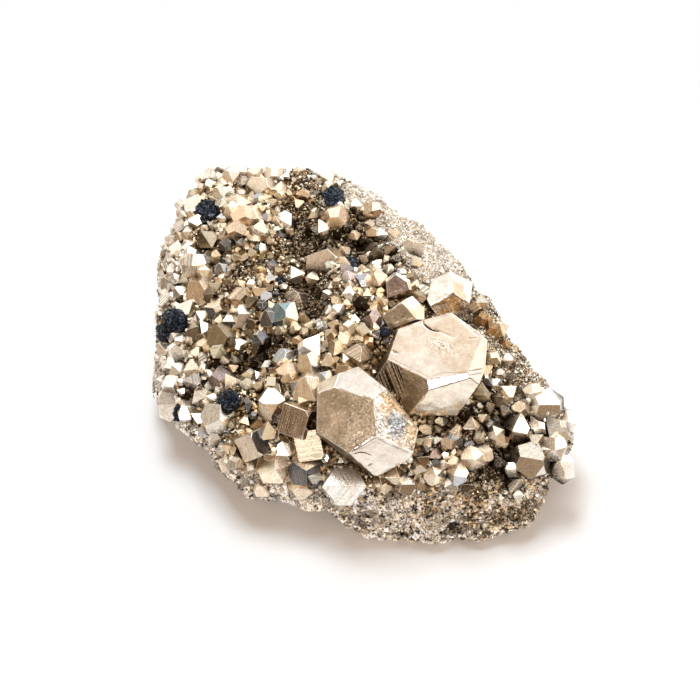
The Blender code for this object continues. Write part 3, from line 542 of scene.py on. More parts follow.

# The large crystals' worked faces: colour, its blotches, roughness, share of growth lines, which
# way those run on the sheet, clockwise in degrees, and how far across, then pits, chipped edges,
# torn relief, growth steps round the edge, and towards which side its pits gather and its
# blotches thin. Each face's colour is partly its own tarnish and partly painted light and shade,
# paler on faces turned to the light and darker on those turned away.
Face = namedtuple(
    "Face", "colour patch dull lines turn until pits chips rough steps lean",
    defaults=((0.8, 0.7, 0.58), 0.24, 0.0, 0, 99, 0.1, 0.2, 0.0, 0.4, None),
)
PLAIN_FACE = Face((0.60, 0.49, 0.37), (0.50, 0.40, 0.29), 0.30, 0.14)
FACES = {
    "left crystal": {
        0: Face((0.71, 0.61, 0.49), (0.46, 0.38, 0.285), 0.32, pits=1.0, chips=0.35, lean=125),
        1: Face((0.74, 0.64, 0.52), (0.62, 0.52, 0.40), 0.28, lines=0.25, turn=60),
        2: Face((0.62, 0.575, 0.54), (0.58, 0.52, 0.47), 0.34, lines=0.05, turn=12, chips=0.4),
        3: Face((0.93, 0.88, 0.82), (0.80, 0.69, 0.57), 0.27, pits=0.5, chips=1.0, rough=1.5),
        4: Face((0.96, 0.89, 0.81), (0.93, 0.83, 0.73), 0.22, lines=0.02, turn=75, chips=0.6,
                pits=0.04),
        5: Face((0.42, 0.34, 0.24), (0.30, 0.22, 0.15), 0.30, lines=0.7, turn=125, chips=0.4),
        6: Face((0.42, 0.34, 0.24), (0.30, 0.22, 0.15), 0.30, lines=0.5, turn=0),
    },
    "right crystal": {
        0: Face((0.94, 0.85, 0.77), (0.84, 0.71, 0.58), 0.27, pits=0.03, chips=0.2, steps=0.5,
                lean=215),
        1: Face((0.66, 0.53, 0.39), (0.52, 0.40, 0.28), 0.30, lines=0.8, turn=20, chips=0.1),
        2: Face((0.50, 0.40, 0.30), (0.38, 0.29, 0.20), 0.30, lines=0.5, turn=50),
        4: Face((0.92, 0.80, 0.74), (0.88, 0.75, 0.68), 0.28, lines=0.02, turn=80, pits=0.05),
        5: Face((0.98, 0.96, 0.93), (0.97, 0.94, 0.90), 0.24, pits=0, chips=0.15, steps=0),
        6: Face((0.50, 0.42, 0.33), (0.38, 0.31, 0.24), 0.34, lines=1.8, turn=-18, until=13.6,
                pits=0.9, chips=0.2),
        7: Face((1.0, 0.93, 0.82), (0.99, 0.87, 0.73), 0.18, lines=0.02, turn=20, pits=0.0,
                steps=0.1),
    },
    "back crystal": {
        0: Face((0.97, 0.94, 0.89), (0.94, 0.89, 0.83), 0.24, lines=0.03, turn=150, chips=0.2),
        1: Face((0.95, 0.90, 0.85), (0.93, 0.80, 0.70), 0.30, lines=0.05, turn=40, rough=0.1),
        4: Face((0.55, 0.36, 0.18), (0.32, 0.20, 0.10), 0.42, chips=1.2, rough=0.9, pits=1.0),
    },
    "middle crystal": {
        0: Face((0.47, 0.385, 0.28), (0.38, 0.31, 0.22), 0.30, lines=0.08, turn=-20, pits=0.7),
        1: Face((0.97, 0.88, 0.80), (0.90, 0.64, 0.42), 0.32, lines=0.06, turn=-35, chips=0.6,
                rough=0.15),
        3: Face((0.60, 0.50, 0.38), (0.50, 0.40, 0.29), 0.30),
    },
    "brown crystal behind it": {
        0: Face((0.48, 0.38, 0.34), (0.38, 0.30, 0.28), 0.34, pits=1.0),
        1: Face((0.90, 0.83, 0.76), (0.80, 0.70, 0.60), 0.28, chips=0.4),
        2: Face((0.94, 0.89, 0.83), (0.85, 0.76, 0.66), 0.28, chips=0.4),
        3: Face((0.70, 0.60, 0.50), (0.60, 0.50, 0.40), 0.30),
    },
}
LARGE_BEVEL = 0.16
LARGE_CELL = 0.20                           # how finely a worked face is divided
POKED_SIDE = 0.6                            # a poked triangle's depth, of its face's size

# Noise on a worked face, from its broad swells to its pits, and round its edges: size across, and
# where it is read.
BROAD = (4.5, 0)
MIDDLE = (1.7, 3)
FINE = (0.7, 6)
CHIPS = (3.1, 9)
LINE_DRAW = (0.05, 1, 1 / 0.55)             # growth lines run along the first of a face's own ways

# Relief of a worked face, in millimetres.
BROAD_HEIGHT = 0.05
MIDDLE_HEIGHT = 0.02
PIT_DEPTH = 0.06
LINE_DEPTH = 0.10
STEP_DEPTH = 0.08
CHIP_DEPTH = 0.55
CHIP_GRAIN = 0.12
CHIP_REACH = 1.5                            # how far in from an edge a chip may come
RIPPLE_HEIGHT = 0.05
SMOOTH_MARGIN = 0.4                         # relief fades out towards a face's edges
TORN_MARGIN = 0.2

# Stains on torn faces: colour, amount, size across, and where in the noise they are read.
STAINS = (
    ((0.56, 0.61, 0.67), 0.5, 3.4, 20),
    ((0.78, 0.56, 0.34), 0.4, 2.4, 31),
)

# Lines cut in a large crystal's face: name, crystal, face, places on the sheet, half width,
# depth, and how dark, with dirt and painted shade.
GROOVES = (
    ("curved growth step", "right crystal", 0,
     ((18.9, 7.9), (19.1, 6.9), (19.9, 6.1), (20.9, 5.4), (22.2, 5.0), (23.6, 4.7)),
     0.22, 0.40, 1.1),
    ("soft end of the step", "right crystal", 0, ((23.6, 4.7), (26.3, 3.4)), 0.35, 0.10, 0.10),
    ("nick on the left", "right crystal", 0, ((10.6, -0.2), (12.4, -0.9)), 0.32, 0.25, 0.6),
    ("tick on the right", "right crystal", 0, ((30.6, 3.0), (33.0, 3.1)), 0.13, 0.12, 0.6),
    ("lines low on the right", "right crystal", 4, ((29.8, -5.9), (34.5, -5.0)), 0.2, 0.15, 0.35),
    ("line below it", "right crystal", 4, ((30.0, -6.9), (34.5, -6.0)), 0.13, 0.10, 0.2),
    ("crack along the pale face", "left crystal", 4,
     ((0.7, -26.9), (2.4, -26.5), (4.0, -26.6), (5.7, -27.3)), 0.16, 0.14, 0.5),
    ("short crack below it", "left crystal", 4, ((4.6, -30.0), (5.8, -29.4)), 0.18, 0.14, 0.7),
    ("crack in the top face", "left crystal", 2, ((7.2, -8.8), (8.6, -10.9)), 0.14, 0.12, 0.6),
)

# Rippled patches: name, crystal, face, place on the sheet, radii, turn, and strength.
ETCHED = (
    ("ripples", "right crystal", 0, (23.6, 1.2), (3.2, 1.6), -25, 1.0),
    ("faint ripples beside them", "right crystal", 0, (28.5, 0.0), (2.8, 1.8), -20, 0.5),
)

# Patches of another colour on a face: name, crystal, face, place on the sheet, radii, turn,
# colour and amount.
PATCHES = (
    ("white torn strip", "left crystal", 3, (7.2, -19.0), (1.9, 7.0), 12, (1.0, 0.98, 0.95), 1.0),
    ("blue grey patch", "left crystal", 3, (12.6, -19.0), (2.4, 3.4), 25, (0.46, 0.51, 0.58), 0.9),
    ("tan corner", "left crystal", 3, (17.6, -22.4), (3.4, 4.0), 0, (0.80, 0.64, 0.48), 0.8),
    ("brown edge", "left crystal", 3, (11.2, -13.6), (5.0, 1.2), -40, (0.62, 0.43, 0.24), 0.8),
    ("rosy side", "right crystal", 0, (17.5, -6.0), (6.0, 4.0), -20, (1.0, 0.93, 0.88), 0.6),
    ("rust on the rim", "back crystal", 1, (27.8, 14.0), (2.2, 4.5), 10, (0.70, 0.47, 0.30), 0.8),
)

# How ripples are drawn out: what a step across and up on the sheet does to where they are read.
RIPPLE_WAY = np.array(((3.4, 0.7, 0.0), (2.2, -1.4, 0.0)))

# Colours in the finishes: grime with painted shade, plain brass, brown films of tarnish on small
# and large crystals, and worn edges of both, pale with a painted highlight.
GRIME_AND_SHADE = (0.030, 0.018, 0.009, 1)
BRASS = (0.80, 0.68, 0.54, 1)
SMALL_FILM = (0.52, 0.36, 0.20, 1)
LARGE_FILM = (0.58, 0.42, 0.26, 1)
SMALL_EDGE_WEAR_AND_HIGHLIGHT = (0.97, 0.93, 0.87, 1)
LARGE_EDGE_WEAR_AND_HIGHLIGHT = (0.98, 0.95, 0.90, 1)

# The rock's two near-black browns between the crystals, painted shade there, its two tones where
# it is bare, and its sparks.
DEEP_ROCK_SHADE = ((0.03, 0.018, 0.010, 1), (0.10, 0.062, 0.035, 1))
BARE_ROCK = ((0.30, 0.22, 0.15, 1), (0.95, 0.84, 0.70, 1))
SPARK = (0.75, 0.62, 0.46, 1)

# The floor fades out between these distances from the part, in metres.
FLOOR_COLOUR = (0.90, 0.90, 0.90)
FLOOR_FADE = (0.105, 0.15)
FLOOR_DROP = 0.00005

# What polished faces see of the room, from its dim side to its bright side, and the light that
# matt surfaces get from it.
BRIGHT_SIDE = (0.20, 0.75, 0.60)
ROOM_TONES = (
    (0.0, (0.10, 0.065, 0.04)),
    (0.20, (0.17, 0.115, 0.07)),
    (0.30, (0.29, 0.20, 0.125)),
    (0.42, (0.55, 0.40, 0.27)),
    (0.60, (0.74, 0.63, 0.51)),
    (0.75, (0.98, 0.91, 0.82)),
    (0.92, (1.5, 1.48, 1.44)),
)
ROOM_STRENGTH = 1.10
ROOM_AMBIENT = (0.38, 0.27, 0.20)

# Soft lights: name, direction from the part, distance, size across and down, power, colour,
# and whether it shines back from polished faces.
LAMPS = (
    ("overhead", (-0.15, 0.28, 0.948), 0.7, (0.28, 0.28), 3.3, (0.86, 1.0, 1.09), False),
    ("key", (0.10, 0.40, 0.91), 0.7, (0.34, 0.28), 0.7, (1, 1, 1), True),
    ("fill", (-0.25, -0.95, 0.18), 0.7, (0.40, 0.30), 1.6, (1, 0.89, 0.78), False),
    ("side", (0.85, -0.15, 0.50), 0.7, (0.60, 0.60), 1.0, (1, 0.97, 0.93), True),
    ("strip", (-0.46, -0.846, 0.27), 0.7, (0.16, 0.20), 0.80, (1, 1, 1), True),
)
LIT_HEIGHT = 0.02                           # the lamps aim this far above the resting face

# The camera's lens and film, in millimetres.
LENS = 100
FILM = 36

ROOT_GRIME_AND_SHADE = 0.8                            # painted shade and grime at a crystal's root
PATTERN_SPREAD = 60                         # growth lines are read this far apart in their noise

# Where the random draws start.
CRUST_SEED = 11
HABIT_SEED = 4
COPY_SEED = 3


# ----------------------------------------------------------------------- the rock's form


def catmull_rom(points, amounts, closed):
    """Points on a smooth curve through a list of points, at amounts counted in points."""
    count = len(points)
    whole = np.floor(amounts).astype(int)
    if not closed:
        whole = np.clip(whole, 0, count - 2)
    part = (amounts - whole)[:, None]
    near = []
    for shift in (-1, 0, 1, 2):
        index = whole + shift
        index = index % count if closed else np.clip(index, 0, count - 1)
        near.append(points[index])
    before, start, end, after = near
    return 0.5 * (
        2 * start
        + (end - before) * part
        + (2 * before - 5 * start + 4 * end - after) * part ** 2
        + (3 * start - before - 3 * end + after) * part ** 3
    )


def even_outline(columns):
    """The stations' rows, read off evenly along the outline."""
    stations = np.array(STATIONS, dtype=float)
    dense = np.linspace(0, len(stations), OUTLINE_SAMPLES, endpoint=False)
    rows = catmull_rom(stations, dense, closed=True)
    steps = np.linalg.norm(np.roll(rows, -1, axis=0)[:, :2] - rows[:, :2], axis=1)
    along = np.concatenate(([0], np.cumsum(steps)))
    wanted = np.linspace(0, along[-1], columns, endpoint=False)
    amounts = np.interp(wanted, along, np.linspace(0, len(stations), OUTLINE_SAMPLES + 1))
    return catmull_rom(stations, amounts, closed=True)


def smooth_rock(columns, rows):
    """The rock's main form as a grid of points, one row a ring, from the foot to the crest."""
    outline = even_outline(columns)
    widest = outline[:, :3]
    crest = np.array(CREST, dtype=float)
    inward = crest[:2] - widest[:, :2]
    inward /= np.linalg.norm(inward, axis=1, keepdims=True)
    shoulder = np.column_stack((widest[:, :2] + inward * outline[:, 3:4], outline[:, 4]))
    foot = np.column_stack((widest[:, :2] + inward * outline[:, 5:6], np.zeros(columns)))
    belly = np.column_stack(
        (widest[:, :2] + inward * outline[:, 5:6] * BELLY[0], widest[:, 2] * BELLY[1])
    )
    profile = [foot, belly, widest, shoulder]
    for share, climb in DOME:
        ring = crest + (shoulder - crest) * np.array((share, share, 1 - climb))
        profile.append(ring)
    profile.append(crest + (shoulder - crest) * np.array((CREST_RING, CREST_RING, 0)))
    profile = np.stack(profile)
    amounts = np.linspace(0, len(profile) - 1, rows)
    rings = catmull_rom(profile.reshape(len(profile), -1), amounts, closed=False)
    return rings.reshape(rows, columns, 3)


def grid_normals(grid):
    """Outward directions of a ring grid's points."""
    around = np.roll(grid, -1, axis=1) - np.roll(grid, 1, axis=1)
    upward = np.gradient(grid, axis=0)
    normals = np.cross(upward, around)
    return normals / np.maximum(np.linalg.norm(normals, axis=2, keepdims=True), 1e-9)


def noise_at(points, size, place=0.0):
    """Smooth noise at each point, of lumps about one size across."""
    flat = points.reshape(-1, 3) / size + place
    values = np.array([noise.noise(Vector(point)) for point in flat])
    return values.reshape(points.shape[:-1])


def gradual(values, low, high):
    """A smooth rise from 0 to 1 between two values."""
    share = np.clip((values - low) / (high - low), 0, 1)
    return share * share * (3 - 2 * share)


def rock_grid(columns, rows):
    """The rock with its lumps and hollows, as a grid of points."""
    grid = smooth_rock(columns, rows)
    normals = grid_normals(grid)
    fade = np.clip(grid[:, :, 2] / FLAT_FOOT, 0, 1)
    push = np.zeros((rows, columns))
    for size, height, place in LUMPS:
        push += height * noise_at(grid, size, place)
    grid = grid + normals * (push * fade)[:, :, None]
    for _, x, y, radius, depth in PITS:
        away = np.hypot(grid[:, :, 0] - x, grid[:, :, 1] - y) / radius
        grid[:, :, 2] -= depth * np.exp(-(away ** 2) * PIT_WALLS) * fade
    grid[0, :, 2] = 0
    return grid


def face_mesh(name, points, faces):
    """A mesh from points in millimetres and lists of their numbers."""
    mesh = bpy.data.meshes.new(name)
    mesh.from_pydata((points * MM).tolist(), [], faces)
    mesh.validate()
    mesh.shade_flat()
    thing = bpy.data.objects.new(name, mesh)
    bpy.context.scene.collection.objects.link(thing)
    return thing


def ring_faces(rows, columns):
    """The faces between the rings of a grid, with both ends closed."""
    faces = []
    for row in range(rows - 1):
        for column in range(columns):
            after = (column + 1) % columns
            low, high = row * columns, (row + 1) * columns
            faces.append((low + after, low + column, high + column, high + after))
    faces.append(tuple(range(columns)))
    faces.append(tuple(reversed([(rows - 1) * columns + n for n in range(columns)])))
    return faces


# --------------------------------------------------------------------------- the crystals


def direction(bearing, slope):
    """A unit vector from a compass bearing and a slope up from level."""
    bearing, slope = np.radians((bearing, slope))
    flat = np.cos(slope)
    return Vector((flat * np.cos(bearing), flat * np.sin(bearing), np.sin(slope)))


def alone(thing):
    """Selects one object and nothing else."""
    bpy.ops.object.select_all(action="DESELECT")
    thing.select_set(True)
    bpy.context.view_layer.objects.active = thing


def cut_crystal(name, centre, faces, bevel, unit=MM):
    """A crystal: a cube cut by its own faces, with its edges broken a little."""
    bpy.ops.object.select_all(action="DESELECT")
    reach = max(distance for _, distance in faces)
    bpy.ops.mesh.primitive_cube_add(size=6 * reach * unit, location=Vector(centre) * unit)
    crystal = bpy.context.object
    crystal.name = name
    bpy.ops.object.mode_set(mode="EDIT")
    for outward, distance in faces:
        bpy.ops.mesh.select_all(action="SELECT")
        bpy.ops.mesh.bisect(
            plane_co=(Vector(centre) + outward * distance) * unit, plane_no=outward,
            use_fill=True, clear_outer=True, threshold=1e-7,
        )
    bpy.ops.mesh.select_all(action="SELECT")
    bpy.ops.mesh.remove_doubles(threshold=1e-5 * unit / MM)
    bpy.ops.mesh.dissolve_limited(angle_limit=np.radians(1))
    if bevel:
        bpy.ops.mesh.bevel(offset=bevel * unit, segments=1, affect="EDGES", clamp_overlap=True)
    bpy.ops.mesh.normals_make_consistent(inside=False)
    bpy.ops.object.mode_set(mode="OBJECT")
    bpy.ops.object.transform_apply(location=True, rotation=True, scale=True)
    return crystal


def signed(values):
    """Every mix of signs of a set of three numbers, each once."""
    found = []
    for a in (1, -1):
        for b in (1, -1):
            for c in (1, -1):
                mixed = (values[0] * a, values[1] * b, values[2] * c)
                if mixed not in found:
                    found.append(mixed)
    return [Vector(mixed).normalized() for mixed in found]


CUBE = signed((1, 0, 0)) + signed((0, 1, 0)) + signed((0, 0, 1))
OCTAHEDRON = signed((1, 1, 1))
PYRITOHEDRON = signed((2, 1, 0)) + signed((0, 2, 1)) + signed((1, 0, 2))
SHARD = [face for face in OCTAHEDRON if face.x * face.y * face.z > 0]


def pattern(name, faces, bevel):
    """One crystal shape to copy: its corners, its faces, and which of those are broken edges, pale
    as wear with a painted highlight.
    """
    crystal = cut_crystal(name, (0, 0, 0), faces, bevel, unit=1.0)
    corners = np.array([tuple(corner.co) for corner in crystal.data.vertices])
    sides = [tuple(face.vertices) for face in crystal.data.polygons]
    outward = np.array([tuple(face.normal) for face in crystal.data.polygons])
    planes = np.array([tuple(face) for face, _ in faces])
    wear_and_highlight = (outward @ planes.T).max(axis=1) < 0.999
    bpy.data.objects.remove(crystal)
    return corners, sides, wear_and_highlight


# Each habit: its own faces, the faces that cut its corners off, how far out those may lie when its
# own lie at about 1, and which way its first and best face points to the top of the sheet.
HABITS = {
    "octahedron": (OCTAHEDRON, CUBE, (1.16, 1.35, 1.5, 1.65, 1.8), CUBE[0]),
    "pyritohedron": (PYRITOHEDRON, OCTAHEDRON, (1.0, 1.08, 1.3), CUBE[2]),
    "cube": (CUBE, OCTAHEDRON, (1.55, 1.65, 1.8), OCTAHEDRON[0]),
}


def habit_patterns(draw, variants, bevel):
    """Slightly uneven copies of each habit, as natural crystals grow."""
    made = {habit: [] for habit in HABITS}
    for number in range(variants):
        for habit, (own, cut_by, cut_at, _) in HABITS.items():
            faces = [(own[0], 1)]
            faces += [(face, draw.uniform(*UNEVEN)) for face in own[1:]]
            faces += [(face, draw.choice(cut_at)) for face in cut_by]
            made[habit].append(pattern(f"{habit}_{number}", faces, bevel))
    return made


def basis(forward, sideways):
    """A turn whose z axis is forward and whose x axis leans to sideways."""
    third = forward.normalized()
    first = (sideways - third * sideways.dot(third)).normalized()
    return Matrix((first, third.cross(first), third)).transposed()


class Sheet:
    """The layout sheet, and what a line of sight through it meets on the rock."""

    def __init__(self, grid):
        slope = np.radians(SHEET_SLOPE)
        self.right = Vector((1, 0, 0))
        self.up = Vector((0, np.sin(slope), np.cos(slope)))
        self.toward = Vector((0, -np.cos(slope), np.sin(slope)))
        self.middle = Vector(SHEET_MIDDLE)
        self.viewpoint = self.middle + self.toward * VIEWPOINT_AWAY
        rows, columns = grid.shape[:2]
        points = [Vector(point) for point in grid.reshape(-1, 3)]
        self.rock = BVHTree.FromPolygons(points, ring_faces(rows, columns))

    def meet(self, across, up):
        """Where a place on the sheet falls on the rock, along which line of sight."""
        place = self.middle + self.right * across + self.up * up
        sight = (place - self.viewpoint).normalized()
        hit = self.rock.ray_cast(self.viewpoint, sight)[0]
        if hit is None:
            hit = self.rock.find_nearest(place)[0]
        return hit, sight

    def turn(self, clockwise):
        """A direction on the sheet, clockwise from its top."""
        angle = np.radians(clockwise)
        return self.right * np.sin(angle) + self.up * np.cos(angle)

    def read(self, points):
        """Where points in space are seen on the sheet: across and up."""
        away = points - np.array(self.viewpoint)
        nearer = VIEWPOINT_AWAY / -(away @ np.array(self.toward))
        return away @ np.array(self.right) * nearer, away @ np.array(self.up) * nearer


def measured_places(sheet):
    """Each measured crystal's habit, finish, centre, turn and size, in millimetres."""
    places = []
    for across, up, reach, habit, facing, spin, tint in CRYSTALS + PALE_BLOCKS:
        faces, _, _, corner = HABITS[habit]
        outward = direction(*FACING[facing])
        depth = reach * HABIT_DEPTH[habit]
        hit, sight = sheet.meet(across, up)
        lift = LIFT + RAISED + PROUD * max(reach - PROUD_FROM, 0)
        centre = hit - sight * (reach * lift) - outward * depth
        turned = basis(outward, sheet.turn(spin)) @ basis(faces[0], corner).transposed()
        places.append((habit, tint, centre, turned, depth))
    return places


def face_out_turns(draw, facing, faces):
    """Turns that bring one of a habit's faces to look out from the rock, each a little tilted."""
    found = []
    for outward in facing:
        target = Vector(outward + draw.normal(scale=FACE_TILT, size=3)).normalized()
        aside = Vector(draw.normal(size=3))
        face = faces[draw.integers(0, len(faces))]
        start = basis(face, face.orthogonal())
        found.append(np.array(basis(target, aside) @ start.transposed()))
    return np.stack(found)


def kept_inside(centres, reach):
    """Moves crystals in so that none reaches out of the part's own box."""
    space = (reach * FURTHEST_CORNER + BOX_MARGIN)[:, None]
    return np.clip(centres, box_low + space, box_high - space)


def random_turns(draw, count):
    """Evenly random turns, as matrices."""
    four = draw.normal(size=(count, 4))
    w, x, y, z = (four / np.linalg.norm(four, axis=1, keepdims=True)).T
    return np.stack((
        np.stack((1 - 2 * (y * y + z * z), 2 * (x * y - z * w), 2 * (x * z + y * w)), axis=1),
        np.stack((2 * (x * y + z * w), 1 - 2 * (x * x + z * z), 2 * (y * z - x * w)), axis=1),
        np.stack((2 * (x * z - y * w), 2 * (y * z + x * w), 1 - 2 * (x * x + y * y)), axis=1),
    ), axis=1)


def attribute_on(mesh, name, kind, domain, values):
    """Writes an attribute on a mesh."""
    made = mesh.attributes.new(name, kind, domain)
    field = {"FLOAT": "value", "FLOAT_COLOR": "color", "FLOAT_VECTOR": "vector"}[kind]
    made.data.foreach_set(field, np.asarray(values, dtype=np.float32).ravel())


def strewn(name, groups):
    """One mesh of many crystals. Each group is a pattern, the copies' turns with their sizes
    in, their centres, a colour and share of growth lines each, and where each is rooted."""
    corners, loops, starts, tints, grimes_and_shades, owns, edges = ([] for _ in range(7))
    corner_count = loop_count = 0
    chance = np.random.default_rng(COPY_SEED)
    for (shape, sides, wear_and_highlight), turns, centres, colours, roots in groups:
        count = len(centres)
        if not count:
            continue
        placed = np.einsum("kij,nj->kni", turns, shape) + centres[:, None, :]
        corners.append(placed.reshape(-1, 3))
        tints.append(np.repeat(colours, len(shape), axis=0))
        # Each copy darkens towards its root, painted shade with grime, and more in a hollow.
        away = placed - roots[:, None, 0:3]
        height = np.einsum("knj,kj->kn", away, roots[:, 3:6]) / roots[:, None, 6]
        grime_and_shade = np.clip(1 - height, 0, 1) * ROOT_GRIME_AND_SHADE + roots[:, None, 7]
        grimes_and_shades.append(grime_and_shade.reshape(-1))
        sizes = np.linalg.norm(turns[:, :, 0], axis=1)[:, None, None]
        apart = chance.uniform(0, PATTERN_SPREAD, size=(count, 1, 3))
        owns.append((shape[None, :, :] * sizes + apart).reshape(-1, 3))
        edges.append(np.tile(wear_and_highlight, count))
        flat = np.concatenate([np.array(side) for side in sides])
        lengths = np.array([len(side) for side in sides])
        first = corner_count + np.arange(count) * len(shape)
        loops.append((first[:, None] + flat[None, :]).reshape(-1))
        begin = np.concatenate(([0], np.cumsum(lengths)[:-1]))
        starts.append((loop_count + np.arange(count)[:, None] * len(flat) + begin).reshape(-1))
        corner_count += count * len(shape)
        loop_count += count * len(flat)
    corners = np.concatenate(corners) * MM
    loops = np.concatenate(loops)
    starts = np.concatenate(starts)
    mesh = bpy.data.meshes.new(name)
    mesh.vertices.add(len(corners))
    mesh.vertices.foreach_set("co", corners.astype(np.float32).ravel())
    mesh.loops.add(len(loops))
    mesh.loops.foreach_set("vertex_index", loops.astype(np.int32))
    mesh.polygons.add(len(starts))
    mesh.polygons.foreach_set("loop_start", starts.astype(np.int32))
    mesh.update(calc_edges=True)
    attribute_on(mesh, "tint", "FLOAT_COLOR", "POINT", np.concatenate(tints))
    attribute_on(mesh, "grime_and_shade", "FLOAT", "POINT", np.concatenate(grimes_and_shades))
    attribute_on(mesh, "own", "FLOAT_VECTOR", "POINT", np.concatenate(owns))
    attribute_on(mesh, "facet", "FLOAT", "FACE", chance.random(len(starts)))
    attribute_on(mesh, "wear_and_highlight", "FLOAT", "FACE", np.concatenate(edges))
    mesh.validate()
    mesh.shade_flat()
    thing = bpy.data.objects.new(name, mesh)
    bpy.context.scene.collection.objects.link(thing)
    return thing


# ------------------------------------------------------------------- the large crystals


def refined(crystal, planes, worked):
    """Divides a cut crystal's worked faces finely, each from its own middle."""
    alone(crystal)
    for number in worked:
        outward = planes[number]
        bpy.ops.object.mode_set(mode="EDIT")
        bpy.ops.mesh.select_mode(type="FACE")
        bpy.ops.mesh.select_all(action="DESELECT")
        bpy.ops.object.mode_set(mode="OBJECT")
        found = [face for face in crystal.data.polygons
                 if face.normal.dot(outward) > 0.9999 and face.area > MM * MM]
        if not found:
            continue
        face = max(found, key=lambda face: face.area)
        face.select = True
        cuts = int(np.sqrt(face.area) * POKED_SIDE / (LARGE_CELL * MM))
        bpy.ops.object.mode_set(mode="EDIT")
        bpy.ops.mesh.poke()
        bpy.ops.mesh.subdivide(number_cuts=max(cuts, 2), smoothness=0)
        bpy.ops.object.mode_set(mode="OBJECT")
    bpy.ops.object.mode_set(mode="EDIT")
    bpy.ops.mesh.select_all(action="SELECT")
    bpy.ops.mesh.quads_convert_to_tris(quad_method="BEAUTY", ngon_method="BEAUTY")
    bpy.ops.object.mode_set(mode="OBJECT")


def line_distance(places, line):
    """How far each place on the sheet is from a drawn line, and how far along it, 0 to 1."""
    nearest = np.full(len(places), 1e3)
    along = np.zeros(len(places))
    line = np.array(line, dtype=float)
    for number, (start, end) in enumerate(zip(line[:-1], line[1:])):
        run = end - start
        share = np.clip((places - start) @ run / (run @ run), 0, 1)
        away = np.linalg.norm(places - (start + share[:, None] * run), axis=1)
        closer = away < nearest
        nearest = np.where(closer, away, nearest)
        along = np.where(closer, (number + share) / (len(line) - 1), along)
    return nearest, along


def spread_over(places, middle, radii, turned):
    """How much of a turned oval patch of the sheet covers each place, from 1 to 0."""
    angle = np.radians(turned)
    offset = places - np.array(middle)
    a = offset @ np.array((np.cos(angle), np.sin(angle))) / radii[0]
    b = offset @ np.array((-np.sin(angle), np.cos(angle))) / radii[1]
    return np.exp(-((a * a + b * b) ** 1.5))


def clip_chips(values):
    """How far chips reach in from an edge, in millimetres, from a noise."""
    return CHIP_REACH * np.clip(values - 0.12, 0, 0.6) / 0.6


def stained(finish, spot, seed, colour):
    """Adds the stains of torn places to a face's colour."""
    for stain, amount, size, start in STAINS:
        share = gradual(noise_at(spot, size, seed + start), 0.08, 0.30)[:, None]
        share = share * finish.rough * amount
        colour = colour * (1 - share) + np.array(stain) * share
    return colour


def patched(face, seen, ragged, colour):
    """Adds the patches of another colour on a face, with ragged edges."""
    for _, crystal, number, middle, radii, turned, other, amount in PATCHES:
        if (crystal, number) == face:
            share = gradual(spread_over(seen, middle, radii, turned) + ragged[0] + ragged[1],
                            0.25, 0.6)[:, None] * amount
            colour = colour * (1 - share) + np.array(other) * share
    return colour


def grooved(face, seen, level, dirt_and_shade):
    """Cuts the grooves of a face into its relief, and darkens them with dirt and painted
    shade.
    """
    for _, crystal, number, line, width, depth, dark in GROOVES:
        if (crystal, number) == face:
            away, run = line_distance(seen, line)
            taper = np.sqrt(np.clip(np.sin(np.pi * np.clip(run, 0.03, 0.97)), 0, 1))
            cut = np.exp(-((away / width) ** 2)) * taper
            level -= depth * cut
            dirt_and_shade += dark * cut


def rippled(face, seen, seed, level, dirt_and_shade):
    """Raises the ripples of a face, darkens their troughs with dirt and painted shade, and
    tells how etched each place is.
    """
    etched = np.zeros(len(seen))
    for _, crystal, number, middle, radii, turned, strength in ETCHED:
        if (crystal, number) == face:
            share = spread_over(seen, middle, radii, turned)
            wave = noise_at(seen @ RIPPLE_WAY, 1.0, seed) * 2.2
            level += share * strength * RIPPLE_HEIGHT * wave
            dirt_and_shade += share * strength * 0.75 * gradual(-wave, 0.1, 0.8)
            etched += share * strength
    return etched


